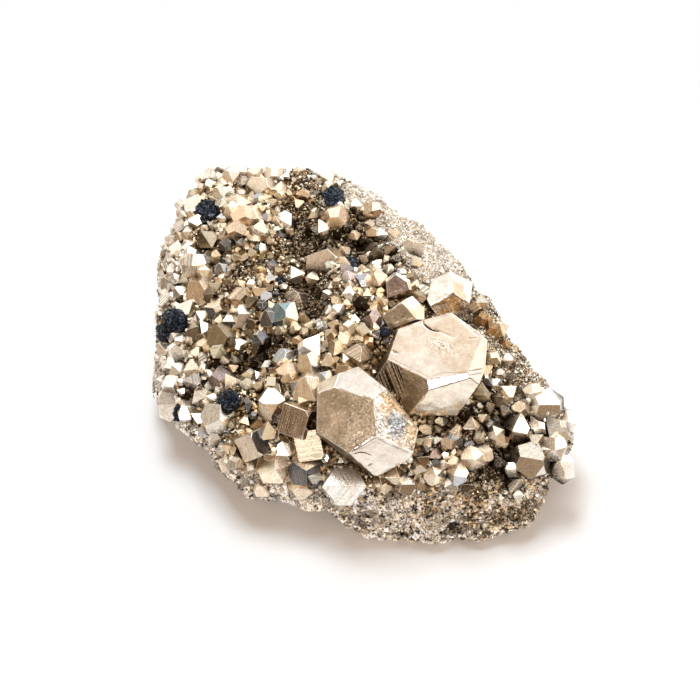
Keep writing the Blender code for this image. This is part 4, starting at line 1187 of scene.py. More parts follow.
def worked_face(face, finish, spot, seen, own, edge):
    """A face's relief, its colour with its share of growth lines, how dull it is, how much grime
    and painted shade it has, and how etched it is, at places in space, on the sheet and on the
    face, so far from its edges."""
    name, number = face
    seed = number * 5.3 + len(name)
    broad, middle, fine, chip = (
        noise_at(spot, size, seed + start) for size, start in (BROAD, MIDDLE, FINE, CHIPS)
    )
    reached = clip_chips(chip)
    chipped = np.clip(1 - edge / np.maximum(reached, 1e-3), 0, 1) * (reached > 0)
    ridges = noise_at(own * np.array(LINE_DRAW), 1.0, seed)
    lines = finish.lines * gradual(finish.until - seen[:, 0], -0.3, 0.3)
    side = np.zeros(len(seen))
    if finish.lean is not None:
        lean_way = np.radians(finish.lean)
        side = (seen - seen.mean(axis=0)) @ (np.sin(lean_way), np.cos(lean_way))
        side = side / np.abs(side).max()
    pitted = finish.pits * gradual(fine + 0.35 * broad + 0.15 * side, 0.12, 0.45)
    torn = finish.rough * np.clip(0.6 + broad, 0.25, 1)
    steps = np.round((broad + 0.5 * middle) * 5) / 5

    level = BROAD_HEIGHT * broad + MIDDLE_HEIGHT * middle - PIT_DEPTH * pitted
    level -= LINE_DEPTH * lines * gradual(ridges, -0.12, 0.12)
    level -= STEP_DEPTH * (1 - gradual(edge + 0.7 * broad, 0.7, 0.85)) * finish.steps
    level *= np.clip(edge / SMOOTH_MARGIN, 0, 1)
    sunk = 0.35 - 0.9 * steps + 0.3 * middle + 0.15 * fine
    level -= torn * np.clip(edge / TORN_MARGIN, 0, 1) * sunk
    level -= finish.chips * (CHIP_DEPTH * chipped ** 1.3 + CHIP_GRAIN * chipped * fine)

    share = np.clip(0.5 + 1.3 * broad + 0.7 * middle + 0.3 * fine - 0.4 * side, 0, 1)[:, None]
    colour = np.array(finish.colour) * (1 - share) + np.array(finish.patch) * share
    colour = stained(finish, spot, seed, colour)
    colour = patched(face, seen, (0.5 * middle, 0.3 * fine), colour)

    # Grime and painted shade gather where the relief sinks, in torn steps, lines, pits and chips.
    dirt_and_shade = torn * gradual(0.25 - steps - 0.4 * middle, 0.15, 0.7) * 0.5
    dirt_and_shade += lines * gradual(ridges, 0.05, 0.2) * 0.45 + pitted * 0.18
    grooved(face, seen, level, dirt_and_shade)
    etched = rippled(face, seen, seed, level, dirt_and_shade)
    dull = finish.dull + 0.12 * torn + 0.06 * pitted + 0.1 * etched
    grime_and_shade = dirt_and_shade + chipped * 0.25 * finish.chips
    etch = torn * 0.7 + etched * 0.5 + 0.3 * pitted + finish.pits * (0.4 + 0.3 * side)
    return level, np.column_stack((colour, lines)), dull, grime_and_shade, np.clip(etch, 0, 1)


def worked_crystal(name, centre, cuts, finishes, sheet):
    """A large crystal: cut, divided, and each face given its own relief and tarnish, with grime and
    painted shade in its recesses and a tint that is partly painted light and shade.
    """
    crystal = cut_crystal(name.replace(" ", "_"), centre, cuts, LARGE_BEVEL)
    outward = [face for face, _ in cuts]
    refined(crystal, outward, sorted(finishes))
    mesh = crystal.data
    count = len(mesh.vertices)
    points = np.empty(count * 3)
    mesh.vertices.foreach_get("co", points)
    points = points.reshape(-1, 3) / MM
    planes = np.array([tuple(face) for face in outward])
    reach = np.array([distance for _, distance in cuts])
    gaps = reach - (points - np.array(centre)) @ planes.T
    owner = gaps.argmin(axis=1)
    seen = np.column_stack(sheet.read(points))
    tint = np.tile((*PLAIN_FACE.colour, PLAIN_FACE.lines), (count, 1))
    dull = np.full(count, PLAIN_FACE.dull)
    push, grime_and_shade, etch = np.zeros((3, count))
    own = np.zeros((count, 3))
    for number, normal in enumerate(planes):
        mine = np.flatnonzero(owner == number)
        if not len(mine):
            continue
        finish = finishes.get(number, PLAIN_FACE)
        spot = points[mine]
        lean = np.array(sheet.turn(finish.turn))
        along = lean - normal * (lean @ normal)
        along /= np.linalg.norm(along)
        across = np.cross(normal, along)
        apart = np.full(len(mine), number * 7.0)
        own[mine] = np.column_stack((spot @ along, apart, spot @ across))
        if number not in finishes:
            continue
        sines = np.linalg.norm(np.cross(planes, normal), axis=1)
        beside = sines > 0.05
        edge = (gaps[mine][:, beside] / sines[beside]).min(axis=1)
        push[mine], tint[mine], dull[mine], grime_and_shade[mine], etch[mine] = worked_face(
            (name, number), finish, spot, seen[mine], own[mine], edge
        )
    moved = np.abs(push) > 0
    points[moved] += planes[owner[moved]] * push[moved, None]
    mesh.vertices.foreach_set("co", (points * MM).ravel())
    mesh.update()
    outward_now = np.array([tuple(face.normal) for face in mesh.polygons])
    wear_and_highlight = (outward_now @ planes.T).max(axis=1) < 0.995
    in_worked = np.array([
        any(owner[corner] in finishes and gaps[corner].min() < 1e-3 for corner in face.vertices)
        and len({int(owner[corner]) for corner in face.vertices}) == 1
        for face in mesh.polygons
    ])
    attribute_on(mesh, "tint", "FLOAT_COLOR", "POINT", tint)
    attribute_on(mesh, "own", "FLOAT_VECTOR", "POINT", own)
    for label, values in (("grime_and_shade", grime_and_shade), ("dull", dull), ("etch", etch)):
        attribute_on(mesh, label, "FLOAT", "POINT", values)
    attribute_on(mesh, "wear_and_highlight", "FLOAT", "FACE", wear_and_highlight & ~in_worked)
    mesh.shade_flat()
    return crystal


# --------------------------------------------------------------------- placing the crust


def spots(draw, grid, normals, count, share):
    """Random places spread evenly over a grid's surface, as thick as share says."""
    low, high = grid[:-1], grid[1:]
    span = np.roll(high, -1, axis=1) - low
    other = high - np.roll(low, -1, axis=1)
    area = np.linalg.norm(np.cross(span, other), axis=2) * share[:-1]
    chances = area.ravel() / area.sum()
    picks = draw.choice(area.size, size=count, p=chances)
    row, column = np.divmod(picks, area.shape[1])
    after = (column + 1) % grid.shape[1]
    s, t = draw.random((2, count, 1))
    weights = ((1 - s) * (1 - t), (1 - s) * t, s * (1 - t), s * t)
    places = ((row, column), (row, after), (row + 1, column), (row + 1, after))
    points = sum(w * grid[place] for w, place in zip(weights, places))
    facing = sum(w * normals[place] for w, place in zip(weights, places))
    return points, facing / np.linalg.norm(facing, axis=1, keepdims=True)


def clear_of_blocks(points):
    """How far outside the nearest large crystal each point is; inside it is negative."""
    nearest = np.full(len(points), 1e3)
    for centre, faces in BLOCKS.values():
        outward = np.array([direction(bearing, slope) for bearing, slope, _ in faces])
        reach = np.array([distance for _, _, distance in faces])
        away = ((points - np.array(centre)) @ outward.T - reach).max(axis=1)
        nearest = np.minimum(nearest, away)
    return nearest


class Room:
    """Which places on the rock are taken, so that crystals nestle without lying in each other."""

    def __init__(self):
        self.taken = {}

    def key(self, point):
        """The cell of space that a point lies in."""
        return tuple(int(v // ROOM_CELL) for v in point)

    def free(self, point, reach):
        """Whether a crystal of this reach fits here."""
        around = [(n - 1, n, n + 1) for n in self.key(point)]
        for cell in itertools.product(*around):
            for other, size in self.taken.get(cell, ()):
                gap = (reach + size) * SMALL_ROOM
                away = other - point
                if away @ away < gap * gap:
                    return False
        return True

    def take(self, point, reach):
        """Marks a crystal's place as taken."""
        self.taken.setdefault(self.key(point), []).append((point, reach))


def mixed_colours(draw, count, mix):
    """A colour for each of count crystals, drawn from a mix, with some spread of lightness."""
    weights = np.array([weight for weight, _ in mix], dtype=float)
    picks = draw.choice(len(mix), size=count, p=weights / weights.sum())
    colours = np.array([colour for _, colour in mix])[picks]
    lightness = draw.normal(1, LIGHTNESS_SPREAD, size=(count, 1))
    colours = np.clip(colours * lightness, 0.01, 0.97)
    lined = draw.random((count, 1)) ** 4
    return np.concatenate((colours, lined), axis=1)


def grouped(draw, shapes, turns, centres, colours, roots):
    """Shares copies out over the patterns."""
    which = draw.integers(0, len(shapes), size=len(centres))
    groups = []
    for number, shape in enumerate(shapes):
        mine = which == number
        groups.append((shape, turns[mine], centres[mine], colours[mine], roots[mine]))
    return groups


def roots_of(points, facing, heights, hollow):
    """What painted shade and grime follow for each crystal: its place on the rock, the way out
    from it, how far out they reach, and how much it lies in a hollow, which adds more
    painted shade."""
    return np.concatenate((points, facing, heights[:, None], hollow[:, None]), axis=1)


def hollows(points):
    """How deep in a hollow of the rock each point lies, from 0 to 1."""
    depth = np.zeros(len(points))
    for _, x, y, radius, fall in PITS:
        away = np.hypot(points[:, 0] - x, points[:, 1] - y) / radius
        depth += np.clip(fall - SHALLOW, 0, 3) / 3 * np.exp(-(away ** 2) * PIT_WALLS)
    across, up = sheet.read(points)
    # Crevices count as hollows: the crust thins there, and what lies there takes painted shade.
    for x, y, radius in CREVICES:
        depth += 1.2 * np.exp(-(np.hypot(across - x, up - y) / radius) ** 2)
    return np.clip(depth, 0, 1)


def clustered(points, darker):
    """A lightness for each point, 1 or less by up to this much, in clusters."""
    return 1 - darker * gradual(noise_at(points, CLUSTER_SIZE, 71.0), 0.0, 0.35)


def paler_lit_rims(points, colours):
    """Lightens the crystals that grow along the pale parts of the rim, partly as painted light."""
    across, up = sheet.read(points)
    for bearing, start, full, most in PALE_LIT_RIMS:
        angle = np.radians(bearing)
        share = gradual(across * np.cos(angle) + up * np.sin(angle), start, full)[:, None] * most
        colours[:, :3] = colours[:, :3] * (1 - share) + np.array(RIM_CREAM_AND_LIGHT) * share
    return colours


# ------------------------------------------------------------------------------ the build

draw = np.random.default_rng(CRUST_SEED)
uneven = random.Random(HABIT_SEED)
scene = bpy.context.scene

grid = rock_grid(ROCK_COLUMNS, ROCK_ROWS)
sheet = Sheet(grid)
normals = grid_normals(grid)
height = grid[:, :, 2]
level = normals[:, :, 2]
across, up = sheet.read(grid)
toward = np.array(sheet.toward)
# The side pits are sunk into the rock, and their rock and grains take painted shade.
painted_pit_shade, sunk = np.zeros((2, ROCK_ROWS, ROCK_COLUMNS))
for _, x, y, radius, depth in SIDE_PITS:
    inside = np.exp(-((np.hypot(across - x, up - y) / radius) ** 2)) * (normals @ toward > 0)
    painted_pit_shade = np.maximum(painted_pit_shade, inside)
    sunk += depth * inside
relief = sum(high * noise_at(grid, size, place) for high, size, place in RELIEF) - RELIEF_SUNK
coarse = sum(high * noise_at(grid, size, place) for high, size, place in SIDE_RELIEF)

bearing, distance = np.radians(BARE_RIM[0]), BARE_RIM[1]
toward_rim = across * np.cos(bearing) + up * np.sin(bearing)
rim = gradual(toward_rim, distance - 1, distance + 2) * (level > 0.2)
crusted = (
    np.clip((level - CRUST_LEVEL[0]) / CRUST_LEVEL[1], 0, 1)
    * np.clip((distance + 2 - toward_rim) / 3, 0, 1)
    * np.clip((height - CRUST_FOOT[0]) / CRUST_FOOT[1], 0, 1)
)
crusted *= gradual(crusted + 0.9 * coarse, 0.25, 0.6)
on_top = crusted.copy()
crusted *= 1 - 0.9 * hollows(grid.reshape(-1, 3)).reshape(crusted.shape)
crusted *= 1 - OPEN_SHARE * gradual(noise_at(grid, OPEN_SIZE, 61.0), 0.0, 0.25)
for _, x, y, radius, thin in BARE_PATCHES:
    away = np.hypot(across - x, up - y) / radius
    crusted *= 1 - thin * np.exp(-(away ** 2))

relief += (1 - on_top) * coarse
relief *= np.clip(height / RELIEF_FOOT, 0, 1)
rock_points = grid + normals * relief[:, :, None] - toward * sunk[:, :, None]
for _, x, y, radius, share in DRAWN_IN:
    away = np.hypot(across - x, up - y) / radius
    rock_points[:, :, :2] *= 1 - share * np.exp(-(away ** 2))[:, :, None]
rock_points = np.clip(rock_points, box_low + ROCK_MARGIN, box_high - ROCK_MARGIN)
rock_points[:, :, 2] = np.where(height < 0.01, 0, np.maximum(rock_points[:, :, 2], 0.02))
rock = face_mesh(
    "granular_rock", rock_points.reshape(-1, 3), ring_faces(ROCK_ROWS, ROCK_COLUMNS)
)
# Paleness: low under the crust and in the side pits, painted shade, and lower on the darker sides.
paleness = (1 - on_top) * (1 - painted_pit_shade)
for _, (left, right), (begin, end), upward, darker in DARKER_SIDES:
    paleness *= 1 - darker * (gradual(across, left, right) * gradual(upward * up, begin, end))
attribute_on(rock.data, "bare_unshaded", "FLOAT", "POINT", paleness)
rock_tree = KDTree(ROCK_ROWS * ROCK_COLUMNS)
for number, point in enumerate(grid.reshape(-1, 3)):
    rock_tree.insert(point, number)
rock_tree.balance()

shapes = habit_patterns(uneven, BEVELLED_SHAPES, SMALL_BEVEL)
plain_shapes = habit_patterns(uneven, PLAIN_SHAPES, 0)
room = Room()
groups = {}
for habit, tint, centre, turned, depth in measured_places(sheet):
    hit, outward, _, _ = sheet.rock.find_nearest(centre)
    root = np.array((*hit, *outward, depth * 0.45, 0.0))
    groups.setdefault((habit, uneven.randrange(BEVELLED_SHAPES)), []).append(
        (np.array(turned) * depth, np.array(centre), TINTS[tint], root)
    )
    room.take(np.array(centre), depth * 1.05)
measured = []
for (habit, number), found in groups.items():
    turns, centres, tints, roots = (np.stack(part) for part in zip(*found))
    # Measured crystals in hollows take a little painted shade.
    roots[:, 7] = hollows(centres) * 0.1
    tints = paler_lit_rims(centres, tints)
    measured.append((shapes[habit][number], turns, centres, tints, roots))
medium = strewn("crust_crystals", measured)
shown = np.array([row[:3] for row in CRYSTALS + PALE_BLOCKS]
                 + [(x, y, reach * 1.6) for x, y, reach in DARK_GRAINS])


def clear_in_view(points):
    """Whether each point is seen clear of every measured crystal's middle."""
    places = np.column_stack(sheet.read(points))
    away = np.linalg.norm(places[:, None, :] - shown[None, :, :2], axis=2)
    return (away > shown[None, :, 2] * CLEAR_VIEW).all(axis=1)


large = []
for name, (centre, faces) in BLOCKS.items():
    cuts = [(direction(turn, slope), distance) for turn, slope, distance in faces]
    large.append(worked_crystal(name, centre, cuts, FACES[name], sheet))

corners, sides = [], []
for piece in large:
    first = len(corners)
    corners += [corner.co / MM for corner in piece.data.vertices]
    sides += [[first + n for n in face.vertices] for face in piece.data.polygons]
large_tree = BVHTree.FromPolygons(corners, sides)


def hides_block(point, reach):
    """Whether a crystal here would stand in front of a large crystal's face."""
    for clockwise in (-90, -40, 0, 40, 90):
        target = Vector(point) + sheet.turn(clockwise) * reach * 0.8
        sight = target - sheet.viewpoint
        nearest_block = large_tree.ray_cast(sheet.viewpoint, sight)[3]
        if nearest_block is None or nearest_block < sight.length - reach:
            continue
        nearest_rock = sheet.rock.ray_cast(sheet.viewpoint, sight)[3]
        if nearest_rock is None or nearest_block < nearest_rock:
            return True
    return False


small = {habit: [] for habit in HABITS}
for least, most, tries in SMALL_SIZES:
    points, facing = spots(draw, rock_points, normals, tries, crusted)
    clear = clear_of_blocks(points)
    open_view = clear_in_view(points + facing * least * 0.5)
    for point, outward, gap, seen in zip(points, facing, clear, open_view):
        reach = draw.uniform(least, most)
        if not seen or gap < reach * 0.7 or not room.free(point, reach):
            continue
        if gap < 4 and hides_block(point, reach):
            continue
        room.take(point, reach)
        small[draw.choice(tuple(HABITS), p=HABIT_SHARES)].append((point, outward, reach))
small_groups = []
for habit, found in small.items():
    count = len(found)
    points, facing, reach = (np.array(part) for part in zip(*found))
    out = draw.random(count) < FACE_OUT
    turns = np.where(
        out[:, None, None], face_out_turns(draw, facing, HABITS[habit][0]),
        random_turns(draw, count),
    ) * (reach * 0.72)[:, None, None]
    rise = np.where(out, draw.uniform(-0.15, 0.25, count), draw.uniform(0.0, 0.4, count))
    centres = kept_inside(points + facing * (reach * rise)[:, None], reach)
    turns = turns * draw.uniform(0.82, 1.22, (count, 1, 3))
    colours = np.where(
        (reach < SHADED_REACH)[:, None], mixed_colours(draw, count, SHADED_SMALL_MIX),
        mixed_colours(draw, count, SMALL_MIX),
    )
    colours = paler_lit_rims(points, colours)
    roots = roots_of(points, facing, reach * 0.55, hollows(points))
    for number, shape in enumerate(shapes[habit]):
        mine = (np.arange(count) % BEVELLED_SHAPES == number) & (reach > BROKEN_EDGE)
        small_groups.append((shape, turns[mine], centres[mine], colours[mine], roots[mine]))
    tiny = reach <= BROKEN_EDGE
    small_groups += grouped(draw, plain_shapes[habit], turns[tiny], centres[tiny],
                            colours[tiny], roots[tiny])
little = strewn("small_crystals", small_groups)

grain_shapes = [
    pattern("whole_grain", [(face, 1.0) for face in OCTAHEDRON], 0),
    pattern("sharp_grain", [(face, 0.62) for face in SHARD], 0),
]
above = np.clip((height - 0.4) / 0.4, 0, 1)
steep = np.clip((0.5 - level) * 5, 0, 1)
thickness = {
    "grains_on_top": above * np.clip((level - 0.3) * 4, 0.02, 1) * (1 - rim),
    "grains_on_the_front": above * steep * (normals[:, :, 1] < 0),
    "grains_on_the_back": above * np.maximum(steep * (normals[:, :, 1] >= 0), rim),
}
grain_pieces = []
for name, (count, least, most, mix, patchy) in GRAINS.items():
    points, facing = spots(draw, rock_points, normals, count, thickness[name])
    fits = clear_of_blocks(points) > 0.1
    points, facing = points[fits], facing[fits]
    count = len(points)
    reach = least + (most - least) * draw.random(count) ** 4.0
    turns = random_turns(draw, count) * (reach * 0.7)[:, None, None]
    turns = turns * draw.uniform(0.7, 1.3, (count, 1, 3))
    centres = points + facing * (reach * draw.uniform(-0.1, 0.45, count))[:, None]
    centres = kept_inside(centres, reach)
    pale = mixed_colours(draw, count, mix)
    pale[:, :3] *= clustered(points, patchy)[:, None]
    shaded_colours = mixed_colours(draw, count, CREVICE_SHADE_MIX)
    bare_unshaded = paleness.ravel()[[rock_tree.find(point)[1] for point in points]]
    # Off the bare rock, grains take the crevice mix, much of it near black as painted shade.
    colours = np.where((draw.random(count) < bare_unshaded)[:, None], pale, shaded_colours)
    # Grains on bare rock take little painted shade at their roots; off it, those in hollows more.
    roots = roots_of(points, facing, reach * (0.2 - 0.17 * bare_unshaded),
                     hollows(points) * 0.45 * (1 - bare_unshaded))
    grain_pieces.append(
        strewn(name, grouped(draw, grain_shapes, turns, centres, colours, roots))
    )

centres, sizes = [], []
for x, y, reach in DARK_GRAINS:
    for _ in range(int(DARK_COUNT * reach)):
        angle, out = draw.uniform(0, 2 * np.pi), draw.random() ** 0.5
        hit, sight = sheet.meet(x + np.cos(angle) * out * reach * 0.9,
                                y + np.sin(angle) * out * reach * 0.9)
        raised = reach * 0.9 * np.sqrt(1 - out * out * 0.9)
        centres.append(np.array(hit - sight * raised))
        sizes.append(draw.uniform(*DARK_SIZE) * (0.6 + 0.15 * reach))
count = len(centres)
centres = np.stack(centres)
turns = random_turns(draw, count) * np.array(sizes)[:, None, None]
colours = mixed_colours(draw, count, DARK_MIX)
roots = roots_of(centres, np.tile((0.0, 0.0, 1.0), (count, 1)), np.full(count, 0.1),
                 np.zeros(count))
dark = strewn("dark_grains", grouped(draw, grain_shapes[:1], turns, centres, colours, roots))

# ------------------------------------------------------------------------------ finishes


def node(tree, kind, inputs=None, **settings):
    """A shader node with its settings made and its inputs set or joined."""
    made = tree.nodes.new(kind)
    for name, value in settings.items():
        setattr(made, name, value)
    for name, value in (inputs or {}).items():
        if isinstance(value, bpy.types.NodeSocket):
            tree.links.new(value, made.inputs[name])
        else:
            made.inputs[name].default_value = value
    return made


def grain(tree, where, scale, detail=3.0, rough=0.6, bend=0.0):
    """Noise from 0 to 1, about even round a half."""
    return node(tree, "ShaderNodeTexNoise", {
        "Vector": where, "Scale": scale, "Detail": detail, "Roughness": rough, "Distortion": bend,
    }).outputs["Fac"]


def cells(tree, where, scale, output="Distance"):
    """Close-packed cells: how far each place is from its cell's middle, or the cell's colour."""
    return node(tree, "ShaderNodeTexVoronoi", {"Vector": where, "Scale": scale}).outputs[output]


def remap(tree, value, low, high, to_low=0.0, to_high=1.0):
    """A value stretched from one range to another, and kept within it."""
    return node(tree, "ShaderNodeMapRange", {
        "Value": value, "From Min": low, "From Max": high, "To Min": to_low, "To Max": to_high,
    }).outputs["Result"]


def sums(tree, operation, *values):
    """A sum of two values: ADD, SUBTRACT, MULTIPLY and so on."""
    given = dict(enumerate(values))
    return node(tree, "ShaderNodeMath", given, operation=operation).outputs["Value"]


def added(tree, first, *others):
    """Several values added up."""
    for other in others:
        first = sums(tree, "ADD", first, other)
    return first


def times(tree, first, *others):
    """Several values multiplied."""
    for other in others:
        first = sums(tree, "MULTIPLY", first, other)
    return first


def blend(tree, share, first, second):
    """A colour between two colours."""
    return node(tree, "ShaderNodeMix", {0: share, 6: first, 7: second},
                data_type="RGBA").outputs[2]


def shared_group(name, inputs, outputs):
    """A node group with its sockets: name to kind, Color, Float or Vector."""
    tree = bpy.data.node_groups.new(name, "ShaderNodeTree")
    for label, kind in inputs.items():
        tree.interface.new_socket(label, in_out="INPUT", socket_type="NodeSocket" + kind)
    for label, kind in outputs.items():
        tree.interface.new_socket(label, in_out="OUTPUT", socket_type="NodeSocket" + kind)
    return tree, tree.nodes.new("NodeGroupInput").outputs, tree.nodes.new("NodeGroupOutput")


def placed(tree, shared, inputs):
    """A shared group placed in a material."""
    return node(tree, "ShaderNodeGroup", inputs, node_tree=shared).outputs


def tarnish_group():
    """Tarnish in soft blotches, and dark grime with painted shade low down between the
    crystals.
    """
    tree, given, out = shared_group("tarnish_grime_and_shade", {
        "Place": "Vector", "Metal": "Color", "Film": "Color", "Film Share": "Float",
        "Grime_And_Shade": "Float",
    }, {"Colour": "Color", "Dullness": "Float"})
    blotch = grain(tree, given["Place"], 420.0, 4.0, 0.65, 0.4)
    share = times(tree, remap(tree, blotch, 0.45, 0.68), given["Film Share"])
    colour = blend(tree, share, given["Metal"], given["Film"])
    speckle = grain(tree, given["Place"], 2600.0, 2.0, 0.5)
    # Grime and painted shade blend the colour towards near black.
    dirt_and_shade = added(tree, given["Grime_And_Shade"], remap(tree, speckle, 0.3, 0.7, -0.15, 0.15))
    dirt_and_shade = remap(tree, dirt_and_shade, 0.28, 0.85)
    tree.links.new(blend(tree, dirt_and_shade, colour, GRIME_AND_SHADE), out.inputs["Colour"])
    dull = added(tree, times(tree, share, 0.12), times(tree, dirt_and_shade, 0.35))
    tree.links.new(dull, out.inputs["Dullness"])
    return tree


TARNISH = tarnish_group()


def lines_group():
    """Fine parallel growth lines across a crystal's own third direction."""
    tree, given, out = shared_group("growth_lines", {"Own": "Vector", "Share": "Float"},
                                    {"Height": "Float", "Shade": "Float"})
    drawn = node(tree, "ShaderNodeVectorMath", {0: given["Own"], 1: (0.006, 0.012, 1.0)},
                 operation="MULTIPLY").outputs["Vector"]
    line = remap(tree, grain(tree, drawn, 1.9, 2.5, 0.6), 0.40, 0.60)
    tree.links.new(times(tree, line, given["Share"]), out.inputs["Height"])
    shade = times(tree, sums(tree, "SUBTRACT", line, 0.62), given["Share"])
    tree.links.new(added(tree, shade, 1.0), out.inputs["Shade"])
    return tree


GROWTH_LINES = lines_group()


def new_material(name, metallic=1.0):
    """A material, its nodes, its shader, and where each place is."""
    material = bpy.data.materials.new(name)
    material.use_nodes = True
    tree = material.node_tree
    shader = tree.nodes["Principled BSDF"]
    shader.inputs["Metallic"].default_value = metallic
    place = node(tree, "ShaderNodeTexCoord").outputs["Object"]
    return material, tree, shader, place


def attribute(tree, name, output="Fac"):
    """A value that the mesh carries."""
    return node(tree, "ShaderNodeAttribute", attribute_name=name).outputs[output]


def scaled(tree, colour, amount):
    """A colour or a place times an amount."""
    return node(tree, "ShaderNodeVectorMath", {0: colour, "Scale": amount},
                operation="SCALE").outputs["Vector"]


def bumped(tree, shader, height, distance):
    """Fine relief on a finish, this deep in metres."""
    bump = node(tree, "ShaderNodeBump", {"Height": height, "Strength": 1.0, "Distance": distance})
    tree.links.new(bump.outputs["Normal"], shader.inputs["Normal"])


def crystal_finish(name, roughness, film_share, depth, contrast=(0.55, 1.45), metallic=1.0):
    """Small crystals: each has its own tint and growth lines, each face its own lightness, its
    edges are worn pale with a painted highlight, and grime with painted shade lies low down
    between them."""
    material, tree, shader, place = new_material(name, metallic)
    tint = attribute(tree, "tint", "Color")
    lines = placed(tree, GROWTH_LINES, {
        "Own": scaled(tree, attribute(tree, "own", "Vector"), 1.7),
        "Share": attribute(tree, "tint", "Alpha"),
    })
    facet = attribute(tree, "facet")
    parts = node(tree, "ShaderNodeSeparateColor", {0: tint}).outputs
    bluish = sums(tree, "GREATER_THAN", parts[2], sums(tree, "MAXIMUM", parts[0], 0.26))
    plain_side = times(tree, bluish, sums(tree, "GREATER_THAN", facet, 0.5))
    tint = blend(tree, plain_side, tint, BRASS)
    speck = remap(tree, grain(tree, place, 1500.0, 3.0, 0.7), 0.3, 0.7, 0.74, 1.22)
    lightness = times(tree, remap(tree, facet, 0, 1, *contrast), lines["Shade"], speck)
    # Broken edges are blended pale: wear, with a painted highlight along them.
    wear_and_highlight = times(tree, attribute(tree, "wear_and_highlight"), 0.65)
    mixed = placed(tree, TARNISH, {
        "Place": place, "Metal": blend(tree, wear_and_highlight, scaled(tree, tint, lightness), SMALL_EDGE_WEAR_AND_HIGHLIGHT),
        "Film": SMALL_FILM, "Film Share": film_share, "Grime_And_Shade": attribute(tree, "grime_and_shade"),
    })
    tree.links.new(mixed["Colour"], shader.inputs["Base Color"])
    rough = remap(tree, facet, 0, 1, roughness, roughness + 0.16)
    rough = added(tree, rough, mixed["Dullness"], times(tree, wear_and_highlight, 0.15))
    tree.links.new(rough, shader.inputs["Roughness"])
    fine = added(tree, grain(tree, place, 1900.0, 3.0, 0.6), times(tree, lines["Height"], 2.5))
    bumped(tree, shader, fine, depth)
    return material


def rock_finish():
    """The rock: nearly black brown between the crystals, painted shade there, and on its bare sides
    a paler mass of fine grains with brown between them."""
    material, tree, shader, place = new_material("granular_rock")
    bare_unshaded = attribute(tree, "bare_unshaded")
    tree.links.new(remap(tree, bare_unshaded, 0, 1, 0.9, 0.3), shader.inputs["Metallic"])
    spark, speck = (
        node(tree, "ShaderNodeSeparateColor", {0: cells(tree, place, scale, "Color")}).outputs
        for scale in (1500.0, 2500.0)
    )
    brown = remap(tree, grain(tree, place, 260.0, 4.0), 0.35, 0.65)
    pale = scaled(tree, blend(tree, brown, *BARE_ROCK), remap(tree, speck[1], 0.0, 0.5, 0.25, 1.2))
    base = blend(tree, bare_unshaded, blend(tree, brown, *DEEP_ROCK_SHADE), pale)
    base = blend(tree, times(tree, remap(tree, spark[0], 0.6, 1), 0.8), base, SPARK)
    tree.links.new(base, shader.inputs["Base Color"])
    shader.inputs["Roughness"].default_value = 0.42
    height = added(tree, cells(tree, place, 1100.0), grain(tree, place, 2500.0))
    bumped(tree, shader, height, 0.0004)
    return material


def large_finish():
    """The large crystals: each face has its own tint, partly painted light and shade, growth lines,
    dullness and torn places, with cloudy tarnish, fine pits, grime and painted shade, and pale
    worn edges that carry a painted highlight."""
    material, tree, shader, place = new_material("large_crystal")
    lines = placed(tree, GROWTH_LINES, {
        "Own": attribute(tree, "own", "Vector"), "Share": attribute(tree, "tint", "Alpha"),
    })
    cloud = remap(tree, grain(tree, place, 330.0, 5.0, 0.65, 0.3), 0.25, 0.75, 0.80, 1.15)
    etch = attribute(tree, "etch")
    fleck = remap(tree, grain(tree, place, 1700.0, 3.0, 0.7), 0.3, 0.7, -0.8, 0.9)
    fleck = added(tree, times(tree, fleck, added(tree, etch, 0.1)), 1.0)
    lightness = times(tree, cloud, lines["Shade"], fleck)
    mixed = placed(tree, TARNISH, {
        "Place": place, "Metal": scaled(tree, attribute(tree, "tint", "Color"), lightness),
        "Film": LARGE_FILM, "Film Share": 0.22, "Grime_And_Shade": attribute(tree, "grime_and_shade"),
    })
    # Broken edges are blended pale: wear, with a painted highlight along them.
    wear_and_highlight = times(tree, attribute(tree, "wear_and_highlight"), 0.8)
    tree.links.new(blend(tree, wear_and_highlight, mixed["Colour"], LARGE_EDGE_WEAR_AND_HIGHLIGHT), shader.inputs["Base Color"])
    rough = remap(tree, grain(tree, place, 700.0, 3.0), 0.3, 0.7, -0.04, 0.06)
    rough = added(tree, rough, attribute(tree, "dull"), mixed["Dullness"])
    tree.links.new(rough, shader.inputs["Roughness"])
    height = added(
        tree, grain(tree, place, 900.0, 4.0, 0.6), times(tree, grain(tree, place, 200.0, 2.0), 2.0),
        times(tree, lines["Height"], 1.5),
        times(tree, grain(tree, place, 1500.0, 3.0, 0.7), etch, 3.0),
    )
    bumped(tree, shader, height, 0.00006)
    return material


finishes = (
    (rock_finish(), [rock]),
    (crystal_finish("crust_crystal", 0.16, 0.30, 0.00003), [medium]),
    (crystal_finish("small_crystal", 0.18, 0.35, 0.00003), [little]),
    (crystal_finish("dark_grain", 0.30, 0.0, 0.00008, (0.5, 1.5)), [dark]),
    (crystal_finish("sugary_grain", 0.22, 0.4, 0.00002, (0.6, 1.3)), grain_pieces[:1]),
    (crystal_finish("pale_grain", 0.28, 0.3, 0.00002, (0.7, 1.65), 0.35), grain_pieces[1:]),
    (large_finish(), large),
)
for finish, pieces in finishes:
    for piece in pieces:
        piece.data.materials.append(finish)
        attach(piece, "root")
        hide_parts("pyrite_cluster")


# ------------------------------------------------------------------ floor, light and camera


